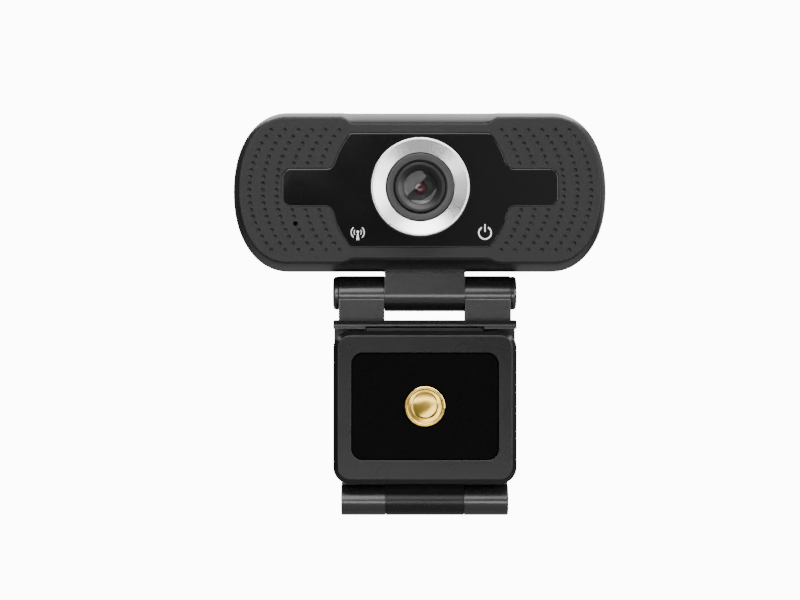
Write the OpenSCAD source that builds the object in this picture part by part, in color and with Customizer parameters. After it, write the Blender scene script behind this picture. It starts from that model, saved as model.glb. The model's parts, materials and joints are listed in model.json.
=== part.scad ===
// Clip-on webcam. A wide camera head stands on a swivel and tilt neck, over a
// folding clip: an arm with a front lip, and a leg with a rubber foot and a
// tripod thread. Millimetres, +Z up, and the camera looks along -Y.
// The origin is the centre of the tripod thread's mouth, on the leg's front rim.

/* [Head] */
// Width of the camera head
head_w = 74.7; // [72:0.1:95]
// Height of the camera head
head_h = 31.9; // [30:0.1:40]
// Depth of the rear housing, from the fascia's back edge to the flat back
housing_depth = 20.7; // [19:0.1:28]
// Length of each rounded end of the head
head_end = 11.1; // [10:0.1:14]
// Roundness of the ends: 2 is an ellipse, more is squarer
end_power = 2.15; // [2:0.05:2.6]
// Sideways offset of the head's centre from the clip's centre
head_side = -1.05; // [-2:0.05:2]
// Wall of the rear housing
housing_wall = 1.6; // [1.2:0.1:2]
// How far the flat back lies inside the head's outline
back_round = 8.2; // [7:0.1:9]
// How far the fascia's edge lies inside the head's outline
fascia_inset = 1.65; // [1.5:0.05:2]
// Thickness of the fascia's front plate
fascia_t = 1.3; // [1.2:0.1:2]
// Depth of the dip in the middle of the head's top edge
scoop_top = 1.2; // [0.4:0.1:1.6]
// Depth of the dip in the middle of the head's bottom edge
scoop_bottom = 0.8; // [0.4:0.1:1.6]
// Width of the dips' flat middle
scoop_w = 25.8; // [20:0.1:30]
// Width of the slope at each end of a dip
scoop_run = 2.9; // [2:0.1:4]

/* [Glossy panel] */
// Height of the panel's round middle
panel_h = 22.4; // [20:0.1:24]
// Radius of the panel's round middle
panel_r = 17.7; // [15:0.1:19]
// Width across the panel's two arms
panel_w = 54.2; // [44:0.1:58]
// Height of the arms
panel_arm_h = 7.3; // [5:0.1:9]
// Corner radius of the arms
panel_corner = 1.7; // [1:0.1:2.4]
// Radius where an arm meets the middle
panel_fillet = 1.6; // [1:0.1:3]
// Thickness of the panel
panel_t = 1.1; // [0.8:0.1:1.1]
// Depth of the fascia's pocket for the panel
pocket_depth = 1.2; // [1.15:0.05:1.6]

/* [Lens] */
// Height of the lens axis over the head's centre
lens_rise = 0.5; // [0:0.1:1]
// Outer radius of the silver ring
ring_r = 9.7; // [8.8:0.1:10.4]
// How far the silver ring stands proud of the fascia
ring_proud = 3.2; // [2:0.1:4]
// Radius of the lens barrel's front
barrel_r = 6.6; // [6.3:0.1:7]
// Radius of the barrel's threaded part
barrel_thread_r = 6; // [5.6:0.1:6.2]
// Length of the barrel behind the fascia's face
barrel_back = 8.5; // [6:0.1:9]
// Radius of the clear glass
glass_r = 3.3; // [2.6:0.1:3.6]

/* [Board] */
// Width of the circuit board
board_w = 54; // [50:0.5:54]
// Height of the circuit board
board_h = 19.5; // [18:0.5:20]
// Thickness of the circuit board
board_t = 1.2; // [1:0.1:1.6]
// Depth of the board's front behind the fascia's face
board_y = 12.5; // [12.2:0.1:13.5]
// Sideways place of the board's screws
board_screw_x = 18.5; // [17:0.5:21]
// Height of the board's screws from the head's centre
board_screw_z = 6.8; // [6:0.1:7.2]
// Distance of the case screws from the ends of the head
case_screw_in = 6.85; // [6.5:0.1:7.5]
// Sideways place of the lamp symbols
lamp_x = 12.5; // [11.5:0.1:13]
// Sideways shift of the middle between the two symbols
lamp_shift = 0.25; // [-0.5:0.05:0.5]
// Drop of the lamp symbols below the head's centre
lamp_drop = 8.4; // [8:0.1:8.6]
// Sideways place of the microphone hole
mic_x = -24.5; // [-25.5:0.1:-23.5]
// Drop of the microphone hole below the head's centre
mic_drop = 6.6; // [5.5:0.1:7]
// Radius of the microphone hole
mic_hole_r = 0.4; // [0.3:0.05:0.6]
// Bore radius of the cable inlet in the back
inlet_r = 1.9; // [1.5:0.1:2.2]
// Drop of the cable inlet below the head's centre
inlet_drop = 2.4; // [1:0.1:2.5]

/* [Neck] */
// Width of the neck and its knuckle
neck_w = 16.2; // [14:0.1:17]
// Thickness of the neck above its knuckle
neck_t = 7.4; // [6.6:0.1:7.4]
// Radius of the neck's knuckle
neck_r = 3.7; // [3.5:0.05:3.9]
// Height of the head's underside over the tilt axis
neck_rise = 4.25; // [4.2:0.05:5]
// Height of the tilt axis over the leg's top
tilt_rise = 7.6; // [7.4:0.1:9]
// Distance of the fascia's face in front of the tilt axis
head_overhang = 12.9; // [12.4:0.1:14]
// Radius of the post that the head turns on
post_r = 2; // [1.8:0.05:2.1]

/* [Clip arm] */
// Width of the arm and of the leg
clip_w = 36.8; // [36:0.1:44]
// Thickness of the arm's plate
arm_t = 3; // [2.6:0.1:3.6]
// Gap between the folded leg and the arm's plate
fold_gap = 0.6; // [0.5:0.05:0.8]
// Height of the lip over the front of the screen
lip_h = 1.7; // [1.4:0.05:1.8]
// Distance of the lip's front behind the leg's front
lip_back = 0.8; // [0.6:0.1:2]
// Radius of the arm's top knuckles
knuckle_r = 3.5; // [3.3:0.05:3.6]
// Outer place of the arm's top knuckles
knuckle_x = 17.4; // [17:0.1:17.8]
// Thickness of the caps on the tilt hinge
cap_t = 1.15; // [0.8:0.05:1.4]
// Radius of the caps
cap_r = 3.38; // [3:0.02:3.5]
// Radius of the tilt pin
tilt_pin_r = 1.5; // [1.2:0.05:1.6]
// Gap between neighbouring knuckles
knuckle_gap = 0.08; // [0.06:0.02:0.2]

/* [Leg] */
// Height of the leg
leg_h = 30.7; // [29:0.1:38]
// Thickness of the leg
leg_t = 6.2; // [6:0.1:7]
// Corner radius of the leg
leg_corner = 3.4; // [2.6:0.1:4]
// Chamfer round the leg's front
leg_chamfer = 1; // [0.6:0.1:1.2]
// How far the thread lies above the leg's centre
thread_rise = 0.25; // [0:0.05:0.5]
// Width of the rubber foot
pad_w = 29.4; // [26:0.1:30]
// Height of the rubber foot
pad_h = 21.4; // [18:0.1:23]
// Corner radius of the rubber foot
pad_corner = 2.2; // [1:0.1:3]
// Thickness of the rubber foot
pad_t = 1.2; // [1:0.1:1.4]
// How far the rubber foot lies below the leg's rim
pad_recess = 0.3; // [0.1:0.05:0.5]
// Width of the finger tab on the leg's top
tab_w = 23.4; // [18:0.1:24]
// Height of the finger tab
tab_h = 0.7; // [0.5:0.05:0.8]
// Outer radius of the brass insert
insert_r = 4.12; // [3.9:0.02:4.4]
// Minor radius of the insert's thread, for a quarter-inch screw
thread_r = 2.56; // [2.5:0.01:2.65]
// Radius of the chamfered mouth of the thread
mouth_r = 3.2; // [3:0.05:3.4]
// Depth of that chamfer
mouth_depth = 0.45; // [0.3:0.05:0.5]
// Length of the brass insert
insert_l = 5.1; // [4.6:0.1:5.2]
// Drop of the fold axis below the leg's bottom edge
fold_drop = 3.7; // [3.6:0.1:4.5]
// Radius of the fold hinge's knuckles
fold_r = 3.1; // [2.8:0.05:3.1]
// Half the width of the fold hinge
fold_x = 16.9; // [16:0.1:17.2]
// Half the width of the leg's knuckle
fold_mid_x = 7.9; // [7:0.1:9]
// Radius of the fold pin
fold_pin_r = 1.25; // [1:0.05:1.3]

/* [Clearances] */
// Clearance round a piece that is set in another
set_gap = 0.02; // [0.01:0.01:0.04]
// Clearance round a pin or a post that turns
run_gap = 0.05; // [0.03:0.01:0.08]
// Clearance round a panel or a shell edge
panel_gap = 0.05; // [0.04:0.01:0.1]

/* [Hidden] */
$fn = 64;
// Overlap that fuses two solids of one piece
fuse = 0.2;

// Places along Y: the leg's front rim is at 0 and the arm lies behind it.
arm_y = leg_t + fold_gap;
hinge_y = leg_t + 0.2;
face_y = hinge_y - head_overhang;

// Places along Z: the thread is at 0, and everything stacks up from the leg.
leg_top = leg_h / 2 - thread_rise;
leg_bottom = leg_top - leg_h;
fold_z = leg_bottom - fold_drop;
tilt_z = leg_top + tilt_rise;
lip_gap = 0.4;
lip_z = leg_top + lip_gap;
lip_top = lip_z + lip_h;
floor_z = tilt_z + neck_rise;
head_z = floor_z + head_h / 2;
arm_bottom = leg_bottom + 0.2;

// The head's depths, measured back from the fascia's face.
seam = fascia_t;
back = fascia_t + housing_depth;
belly = seam + 0.37 * housing_depth;
mouth_inset = fascia_inset - 0.15;
plug_t = 1;
plug_back = seam + plug_t;
plug_inset = mouth_inset + housing_wall + 0.1;
skirt_t = 1;
skirt_l = 1.5;

// The front glass bulges in proportion to its width.
dome_r = 1.97 * glass_r;

// Fasteners and their holes.
screw_r = 0.8;
boss_r = 2.2;
case_screw_x = head_w / 2 - case_screw_in;
case_shank_r = 0.9;
case_head_r = 2;
case_seat = back - 5;
case_boss_r = 3.2;

// The swivel joint under the head: a washer lies on the neck, in a recess.
neck_top = floor_z - 0.05;
washer_t = 0.5;
washer_r = neck_t / 2;
recess_z = neck_top + 0.02 + washer_t + 0.08;
swivel_boss_r = 4.4;
swivel_seat_r = neck_w / 2 + 0.5;
swivel_seat_t = housing_wall - 0.3;
boss_top = floor_z + housing_wall + 1.4;
post_top = boss_top + 0.15;
retainer_t = 0.8;
retainer_r = 3.4;
swivel_shank_r = 0.9;

// Friction sleeves round the two pins.
sleeve_t = 0.75;
sleeve_slit = 1;
tilt_sleeve_r = tilt_pin_r + run_gap + sleeve_t;
fold_sleeve_r = fold_pin_r + run_gap + 0.65;
spigot_r = tilt_pin_r + 0.4;
spigot_l = 0.5;
leg_knuckle_x = fold_mid_x;
arm_fold_x = fold_mid_x + knuckle_gap;
arm_tilt_x = neck_w / 2 + knuckle_gap;

// Rubber pads on the faces that grip a screen.
grip_t = 0.7;
grip_w = 26;
grip_h = 18;
grip_proud = 0.2;
foot_hole_r = insert_r + set_gap;

// ---- Outlines of the head -------------------------------------------------

function power(v, p) = sign(v) * pow(abs(v), p);

// One rounded end, from angle a0 to a0 + 180, for an outline drawn in by inset.
function end_points(inset, a0) = [
    for (k = [0:24])
        let (a = a0 + k * 7.5, side = a0 < 0 ? 1 : -1)
        [side * (head_w / 2 - head_end)
            + (head_end - inset) * power(cos(a), 2 / end_power),
         (head_h / 2 - inset) * power(sin(a), 2 / end_power)]
];

// The dip in one long edge: depth is how far it drops, side is 1 for the top.
function dip_points(inset, depth, side) = [
    for (end = [1, -1], k = [0:5])
        let (
            u = end > 0 ? k / 5 : 1 - k / 5,
            x = scoop_w / 2 + scoop_run * (1 - u),
            drop = depth * (1 - cos(180 * u)) / 2
        )
        [side * end * x, side * (head_h / 2 - inset - drop)]
];

function head_outline(inset, share = 1) = concat(
    end_points(inset, -90), dip_points(inset, scoop_top * share, 1),
    end_points(inset, 90), dip_points(inset, scoop_bottom * share, -1)
);

// How far the housing's surface lies inside the outline at depth y.
function shell_inset(y, last) =
    y < belly
        ? mouth_inset * pow(1 - (y - seam) / (belly - seam), 2)
        : back_round * (1 - sqrt(max(0, 1 - pow((y - belly) / (last - belly), 3))));

function shell_ring(y, last, wall) = [
    for (p = head_outline(
            shell_inset(y, last) + wall,
            max(0, 1 - (y - seam) / (belly - seam))))
        [p[0], y, p[1]]
];

// Triangles that close a ring of n points, as a strip between its long edges.
function cap_faces(n, start, flip) = [
    for (m = [0:n / 2 - 1], half = [0, 1])
        let (
            a = (12 + m) % n, b = (13 + m) % n,
            c = (12 - m + n) % n, d = (11 - m + n) % n,
            t = half == 0 ? [a, b, c] : [b, d, c],
            f = flip ? [t[2], t[1], t[0]] : t
        )
        if (t[0] != t[1] && t[1] != t[2] && t[0] != t[2])
            [start + f[0], start + f[1], start + f[2]]
];

// A closed skin through a list of rings with as many points each.
module loft(rings) {
    n = len(rings[0]);
    last = len(rings) - 1;
    polyhedron(
        points = [for (ring = rings, p = ring) p],
        faces = concat(
            cap_faces(n, 0, false),
            [for (i = [0:last - 1], j = [0:n - 1])
                let (k = (j + 1) % n)
                [i * n + j, (i + 1) * n + j, (i + 1) * n + k]],
            [for (i = [0:last - 1], j = [0:n - 1])
                let (k = (j + 1) % n)
                [i * n + j, (i + 1) * n + k, i * n + k]],
            cap_faces(n, last * n, true)
        )
    );
}

// ---- Outline of the glossy panel -----------------------------------------

// One quarter of the panel, from the end of an arm round to its long edge.
function panel_quarter(grow, edge) =
    let (
        r = panel_r + grow,
        e = edge + grow,
        f = panel_fillet - grow,
        c = panel_corner + grow,
        fx = sqrt(pow(r + f, 2) - pow(e + f, 2)),
        a = atan2(e + f, fx),
        top = asin((panel_h / 2 + grow) / r)
    )
    concat(
        [for (k = [0:5])
            [panel_w / 2 + grow - c + c * cos(k * 18), e - c + c * sin(k * 18)]],
        [for (k = [0:5])
            let (t = 270 - k / 5 * (90 - a))
            [fx + f * cos(t), e + f + f * sin(t)]],
        [for (k = [1:8])
            let (t = a + k / 8 * (top - a))
            [r * cos(t), r * sin(t)]]
    );

function mirrored(points, sx, sz) =
    let (n = len(points))
    [for (k = [0:n - 1])
        let (p = points[sx * sz > 0 ? k : n - 1 - k])
        [sx * p[0], sz * p[1]]];

module panel_outline(grow = 0) {
    upper = panel_quarter(grow, panel_arm_h / 2 + lens_rise);
    lower = panel_quarter(grow, panel_arm_h / 2 - lens_rise);
    polygon(concat(
        mirrored(upper, 1, 1), mirrored(upper, -1, 1),
        mirrored(lower, -1, -1), mirrored(lower, 1, -1)
    ));
}

// ---- Placing helpers --------------------------------------------------------

// The head's own frame: its origin is the centre of the fascia's front face.
module in_head() translate([head_side, face_y, head_z]) children();

// A flat plate from depth y to y + t, drawn as a front view.
module plate(y, t) translate([0, y + t, 0]) rotate([90, 0, 0])
    linear_extrude(t) children();

// On the lens axis, with +Z pointing out of the front of the camera.
module on_lens() in_head() translate([0, 0, lens_rise]) rotate([90, 0, 0])
    children();

// A turned piece on the lens axis, from its [radius, height] outline.
module turned(points) on_lens() rotate_extrude() polygon(points);

// A round bar along Y, from depth y to y + l.
module bar_y(x, z, r, y, l) translate([x, y, z]) rotate([-90, 0, 0])
    cylinder(r = r, h = l);

// A round bar along X between x0 and x1, on the axis at y, z.
module bar_x(x0, x1, y, z, r) translate([x0, y, z]) rotate([0, 90, 0])
    cylinder(r = r, h = x1 - x0);

// The same bar on both sides of the middle.
module bars_x(x0, x1, y, z, r) {
    bar_x(x0, x1, y, z, r);
    bar_x(-x1, -x0, y, z, r);
}

// A block from corner a to corner b.
module block(a, b) translate(a) cube(b - a);

// A rectangle with round corners, centred, in the front view.
module round_rect(w, h, r) {
    square([w - 2 * r, h], center = true);
    square([w, h - 2 * r], center = true);
    for (x = [-1, 1], z = [-1, 1])
        translate([x * (w / 2 - r), z * (h / 2 - r)]) circle(r);
}

// A pan-head screw along Y: its head ends at y and its shank runs to the front.
module screw_y(x, z, y, head_r, head_h, shank_r, shank_l) {
    bar_y(x, z, head_r, y - head_h, head_h);
    bar_y(x, z, shank_r, y - head_h - shank_l, shank_l + head_h / 2);
}

// ---- Head -------------------------------------------------------------------

module rear_housing() color("#1c1c1d") {
    outer_y = concat(
        [for (u = [1, 0.98, 0.93, 0.84, 0.7, 0.5, 0.25]) belly + u * (back - belly)],
        [for (u = [1, 0.7, 0.42, 0.18, 0]) seam + u * (belly - seam)]
    );
    inner_back = back - housing_wall;
    inner_y = concat(
        [for (u = [0, 0.3, 0.65, 1]) seam + u * (belly - seam)],
        [for (u = [0.4, 0.7, 0.9, 1]) belly + u * (inner_back - belly)]
    );
    difference() {
        union() {
            in_head() loft(concat(
                [for (y = outer_y) shell_ring(y, back, 0)],
                [for (y = inner_y) shell_ring(y, inner_back, housing_wall)]
            ));
            translate([0, hinge_y, floor_z])
                cylinder(r = swivel_boss_r, h = boss_top - floor_z);
            // A flat seat evens out the curved floor over the neck.
            intersection() {
                translate([0, hinge_y, floor_z + 0.02])
                    cylinder(r = swivel_seat_r, h = swivel_seat_t);
                block([-neck_w, hinge_y - 4.2, floor_z - 1], [neck_w, hinge_y + 4.2, floor_z + 3]);
            }
            in_head() for (s = [-1, 1])
                bar_y(s * case_screw_x, 0, case_boss_r, case_seat - 1.7, back - 0.1 - case_seat);
        }
        translate([0, hinge_y, floor_z - 1])
            cylinder(r = post_r + run_gap, h = boss_top - floor_z + 2);
        translate([0, hinge_y, floor_z - 1])
            cylinder(r = washer_r + 0.1, h = recess_z - floor_z + 1);
        in_head() {
            for (s = [-1, 1]) {
                bar_y(s * case_screw_x, 0, case_shank_r + 0.25, case_seat - 2, 4);
                bar_y(s * case_screw_x, 0, case_head_r + 0.25, case_seat, 6);
            }
            bar_y(0, -inlet_drop, inlet_r + 1 + set_gap, back - 3, 6);
        }
    }
}

module front_fascia() color("#3b3b3c") in_head() difference() {
    union() {
        plate(0, fascia_t) polygon(head_outline(fascia_inset));
        plate(seam - fuse, plug_t + fuse) polygon(head_outline(plug_inset));
        plate(plug_back - fuse, skirt_l + fuse) difference() {
            polygon(head_outline(plug_inset));
            polygon(head_outline(plug_inset + skirt_t));
        }
        for (x = [-1, 1], z = [-1, 1])
            bar_y(x * board_screw_x, z * board_screw_z, boss_r,
                  plug_back - fuse, board_y - plug_back + fuse);
        for (s = [-1, 1])
            bar_y(s * case_screw_x, 0, boss_r + 0.1,
                  plug_back - fuse, case_seat - 1.8 - plug_back + fuse);
    }
    plate(-1, 1 + pocket_depth) panel_outline(panel_gap);
    bar_y(0, lens_rise, barrel_r + 0.4, 0, plug_back + 1);
    bar_y(mic_x, -mic_drop, mic_hole_r, -1, plug_back + 2);
    for (s = [-1, 1])
        bar_y(s * lamp_x + lamp_shift, -lamp_drop, 1 + set_gap, 0, plug_back + 1);
    for (x = [-1, 1], z = [-1, 1])
        bar_y(x * board_screw_x, z * board_screw_z, screw_r + set_gap,
              board_y - 5.5, 6);
    for (s = [-1, 1])
        bar_y(s * case_screw_x, 0, case_shank_r + set_gap, case_seat - 10, 12);
}

module glossy_panel() color("#0d0d0e") in_head() difference() {
    plate(pocket_depth - panel_t, panel_t) panel_outline(0);
    bar_y(0, lens_rise, ring_r + panel_gap, -1, pocket_depth + 2);
}

module lens_trim_ring() color("#d0d0d2") turned([
    [barrel_r + 0.15, ring_proud - 0.9], [ring_r - 1.1, ring_proud],
    [ring_r - 0.5, ring_proud - 0.08], [ring_r - 0.12, ring_proud - 0.35],
    [ring_r, ring_proud - 0.7], [ring_r, -pocket_depth],
    [barrel_r + 0.15, -pocket_depth]
]);

module lens_barrel() color("#39383a") turned([
    [glass_r + 0.7, -barrel_back], [barrel_thread_r, -barrel_back],
    [barrel_thread_r, -2.4], [barrel_r, -2.4], [barrel_r, 2.1],
    [glass_r + 2, 2.1], [glass_r + 2, 1.2], [glass_r + 1.75, 1.2],
    [glass_r + 1.75, -0.5], [glass_r + 0.7, -0.5]
]);

module lens_cell() color("#2c2c2e") turned([
    [glass_r, 1], [glass_r + 1.1, 1.75], [glass_r + 1.7, 1.6],
    [glass_r + 1.7, -0.48], [glass_r + 0.65, -0.48],
    [glass_r + 0.65, 0.38], [glass_r, 0.38]
]);

module front_lens() color("#202428") on_lens() intersection() {
    translate([0, 0, -0.46]) cylinder(r = glass_r + 0.6, h = 2);
    translate([0, 0, 1.1 - dome_r]) sphere(r = dome_r);
}

module aperture_disc() color("#0a0a0a") on_lens() difference() {
    translate([0, 0, -1.6]) cylinder(r = glass_r + 0.65, h = 0.4);
    translate([0, 0, -2]) cylinder(r = 1.2, h = 2);
}

module inner_lens() color("#301820") on_lens() intersection() {
    translate([0, 0, -5]) cylinder(r = glass_r + 0.65, h = 3);
    translate([0, 0, -11.1]) sphere(r = 8.2);
}

module lens_holder() color("#222224") on_lens() {
    tube_top = -plug_back - 0.4;
    ledge = -barrel_back - 0.7;
    cavity = ledge - 0.8;
    difference() {
        union() {
            translate([0, 0, ledge - 0.1]) cylinder(r = 7.3, h = tube_top - ledge + 0.1);
            translate([-7.5, -7.5, -board_y]) cube([15, 15, ledge + board_y]);
        }
        translate([0, 0, ledge]) cylinder(r = barrel_thread_r + set_gap, h = 12);
        translate([0, 0, cavity - 0.1]) cylinder(r = 3, h = 2);
        translate([-5.3, -5.3, -board_y - 1]) cube([10.6, 10.6, cavity + board_y + 1]);
    }
}

module ir_cut_filter() color("#5c2a38") on_lens()
    translate([-3.5, -3.5, -barrel_back - 1.95]) cube([7, 7, 0.43]);

module image_sensor() color("#24362c") on_lens()
    translate([-4, -3.6, -board_y]) cube([8, 7.2, 1.1]);

module main_board() color("#155a34") in_head() difference() {
    plate(board_y, board_t) square([board_w, board_h], center = true);
    for (x = [-1, 1], z = [-1, 1])
        bar_y(x * board_screw_x, z * board_screw_z, screw_r + 0.3,
              board_y - 1, board_t + 2);
}

module on_board(x, z, w, h, t) in_head()
    plate(board_y + board_t, t) translate([x, z]) square([w, h], center = true);

module video_processor() color("#151515") on_board(-5, 3, 9, 9, 0.9);

module cable_connector() color("#e6e0cc") in_head() difference() {
    plate(board_y + board_t, 4) translate([10, -4]) square([9, 4.4], center = true);
    plate(board_y + board_t + 0.8, 4) translate([10, -4]) square([7.6, 3], center = true);
}

module board_parts() color("#8c8474") {
    on_board(9, 5, 4.8, 2, 1.2);
    for (k = [0:3]) on_board(-12 + 2.4 * k, -4.5, 1.2, 2, 0.8);
    on_board(-23, 3, 3, 3, 1);
    on_board(23, 0, 3, 4, 1.4);
}

module board_screws() color("#b8b8b4") in_head()
    for (x = [-1, 1], z = [-1, 1])
        screw_y(x * board_screw_x, z * board_screw_z, board_y + board_t + 1.3,
                1.9, 1.3, screw_r, 5.7);

module case_screws() color("#2a2a2a") in_head() for (s = [-1, 1])
    screw_y(s * case_screw_x, 0, case_seat + 1.4, case_head_r, 1.4, case_shank_r, 8);

module status_leds() color("#f2f2e6") in_head() for (s = [-1, 1])
    translate([s * lamp_x + lamp_shift - 1, board_y - 0.8, -lamp_drop - 0.6]) cube([2, 0.8, 1.2]);

module light_guides() color("#e8f0f4") in_head() for (s = [-1, 1])
    bar_y(s * lamp_x + lamp_shift, -lamp_drop, 1, pocket_depth, board_y - 0.9 - pocket_depth);

// An arc of a ring in the front view, from angle a0 to a1.
module arc_band(r, t, a0, a1) {
    steps = 12;
    polygon(concat(
        [for (k = [0:steps])
            let (a = a0 + k / steps * (a1 - a0)) (r + t / 2) * [cos(a), sin(a)]],
        [for (k = [steps:-1:0])
            let (a = a0 + k / steps * (a1 - a0)) (r - t / 2) * [cos(a), sin(a)]]
    ));
}

module symbol(side) in_head()
    translate([side * lamp_x + lamp_shift, 0, -lamp_drop])
    plate(pocket_depth - panel_t - 0.06, 0.06) children();

// Sending mast: a round head on a flared foot, with two waves on each side.
module signal_symbol() color("#cfcfcf") symbol(-1) {
    translate([0, 0.2]) circle(0.28, $fn = 24);
    polygon([[-0.1, 0.1], [0.1, 0.1], [0.3, -1.4], [-0.3, -1.4]]);
    for (a = [0, 180]) {
        translate([0, 0.1]) arc_band(0.72, 0.15, a - 42, a + 42);
        translate([0, 0.1]) arc_band(1.28, 0.2, a - 50, a + 50);
    }
}

module power_symbol() color("#cfcfcf") symbol(1) {
    arc_band(1.24, 0.28, 120, 420);
    translate([0, 0.95]) square([0.26, 1.5], center = true);
}

module mic_capsule() color("#b0b0ac") in_head()
    bar_y(mic_x, -mic_drop, 2, plug_back + 0.3, 1.4);

module mic_boot() color("#151515") in_head() difference() {
    bar_y(mic_x, -mic_drop, 3, plug_back, 1.9);
    bar_y(mic_x, -mic_drop, 2 + set_gap, plug_back + 0.3 - set_gap, 3);
    bar_y(mic_x, -mic_drop, 0.6, plug_back - 1, 3);
}

module cable_grommet() color("#141414") in_head()
    translate([0, back, -inlet_drop]) rotate([-90, 0, 0]) rotate_extrude() polygon([
        [inlet_r, -housing_wall - 0.8], [inlet_r + 1.6, -housing_wall - 0.8],
        [inlet_r + 1.6, -housing_wall - 0.02], [inlet_r + 1, -housing_wall - 0.02],
        [inlet_r + 1, 0.02], [inlet_r + 1.9, 0.02], [inlet_r + 1.9, 0.5],
        [inlet_r + 1.6, 0.8], [inlet_r, 0.8]
    ]);

// ---- Neck -------------------------------------------------------------------

module neck_block() color("#262627") difference() {
    union() {
        bar_x(-neck_w / 2, neck_w / 2, hinge_y, tilt_z, neck_r);
        block([-neck_w / 2, hinge_y - neck_t / 2, tilt_z],
              [neck_w / 2, hinge_y + neck_t / 2, neck_top]);
        translate([0, hinge_y, tilt_z]) cylinder(r = post_r, h = post_top - tilt_z);
    }
    bar_x(-neck_w, neck_w, hinge_y, tilt_z, tilt_sleeve_r + set_gap);
    translate([0, hinge_y, tilt_z + tilt_sleeve_r + 0.6])
        cylinder(r = swivel_shank_r + set_gap, h = 20);
}

module swivel_washer() color("#d8d4c8") translate([0, hinge_y, neck_top + 0.02])
    difference() {
        cylinder(r = washer_r, h = washer_t);
        translate([0, 0, -1]) cylinder(r = post_r + set_gap, h = 3);
    }

module swivel_retainer() color("#b4b4b0") translate([0, hinge_y, post_top])
    difference() {
        cylinder(r = retainer_r, h = retainer_t);
        translate([0, 0, -1]) cylinder(r = swivel_shank_r + set_gap, h = 3);
    }

module swivel_screw() color("#b8b8b4") {
    shank = post_top - (tilt_z + tilt_sleeve_r + 0.8);
    translate([0, hinge_y, post_top + retainer_t]) cylinder(r = 2, h = 1.4);
    translate([0, hinge_y, post_top - shank])
        cylinder(r = swivel_shank_r, h = shank + retainer_t + 0.5);
}

// A split spring sleeve that grips its pin, from -half to half along X.
module sleeve(half, y, z, outer, inner) difference() {
    bar_x(-half, half, y, z, outer);
    bar_x(-half - 1, half + 1, y, z, inner);
    block([-half - 1, y - sleeve_slit / 2, z], [half + 1, y + sleeve_slit / 2, z + outer + 1]);
}

module tilt_friction_sleeve() color("#a8a8a4")
    sleeve(neck_w / 2 - 0.6, hinge_y, tilt_z, tilt_sleeve_r, tilt_pin_r + run_gap);

// ---- Arm --------------------------------------------------------------------

module clip_arm() color("#2e2e2f") difference() {
    arm_h = lip_top - arm_bottom;
    half_w = clip_w / 2;
    union() {
        plate(arm_y, arm_t) union() {
            translate([0, arm_bottom + arm_h / 2]) round_rect(clip_w, arm_h, leg_corner);
            translate([-half_w, lip_top - 2 * leg_corner]) square([clip_w, 2 * leg_corner]);
        }
        translate([-half_w, 0, 0]) rotate([90, 0, 90]) linear_extrude(clip_w) polygon([
            [lip_back, lip_z], [arm_y + 0.5, lip_z], [arm_y + 0.5, lip_top],
            [lip_back + 0.9, lip_top], [lip_back, lip_top - 0.9]
        ]);
        for (s = [-1, 1]) scale([s, 1, 1]) {
            bar_x(arm_tilt_x, knuckle_x, hinge_y, tilt_z, knuckle_r);
            block([arm_tilt_x, hinge_y - knuckle_r, lip_top - 0.3],
                  [knuckle_x, arm_y + arm_t, tilt_z]);
            bar_x(arm_fold_x, fold_x, hinge_y, fold_z, fold_r);
            block([arm_fold_x, arm_y, fold_z],
                  [fold_x, hinge_y + fold_r, arm_bottom + leg_corner]);
        }
    }
    block([-tab_w / 2 - 0.2, lip_back - 1, lip_z - 1],
          [tab_w / 2 + 0.2, arm_y, lip_z + tab_h - lip_gap + 0.25]);
    bar_x(-half_w - 1, half_w + 1, hinge_y, tilt_z, tilt_pin_r + set_gap);
    bars_x(knuckle_x - spigot_l, knuckle_x + 1, hinge_y, tilt_z, spigot_r + set_gap);
    bar_x(-half_w - 1, half_w + 1, hinge_y, fold_z, fold_pin_r + set_gap);
    plate(arm_y - 1, 1 + grip_t - grip_proud)
        round_rect(grip_w + 0.1, grip_h + 0.1, 1.5);
}

module grip_pad(y) color("#101010") plate(y, grip_t) round_rect(grip_w, grip_h, 1.45);

module arm_grip_pad() grip_pad(arm_y - grip_proud);

module tilt_pin() color("#b8b8b6")
    bar_x(-knuckle_x + spigot_l, knuckle_x - spigot_l, hinge_y, tilt_z, tilt_pin_r);

module tilt_caps() color("#262627") for (s = [-1, 1])
    translate([s * knuckle_x, hinge_y, tilt_z]) rotate([0, s * 90, 0]) rotate_extrude()
        polygon([
            [0, -spigot_l + 0.02], [spigot_r, -spigot_l + 0.02], [spigot_r, 0],
            [cap_r, 0], [cap_r, cap_t - 0.45], [cap_r - 0.13, cap_t - 0.13],
            [cap_r - 0.45, cap_t], [0, cap_t]
        ]);

module fold_pin() color("#b8b8b6")
    bar_x(-fold_x + 0.4, fold_x - 0.4, hinge_y, fold_z, fold_pin_r);

// ---- Leg --------------------------------------------------------------------

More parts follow.
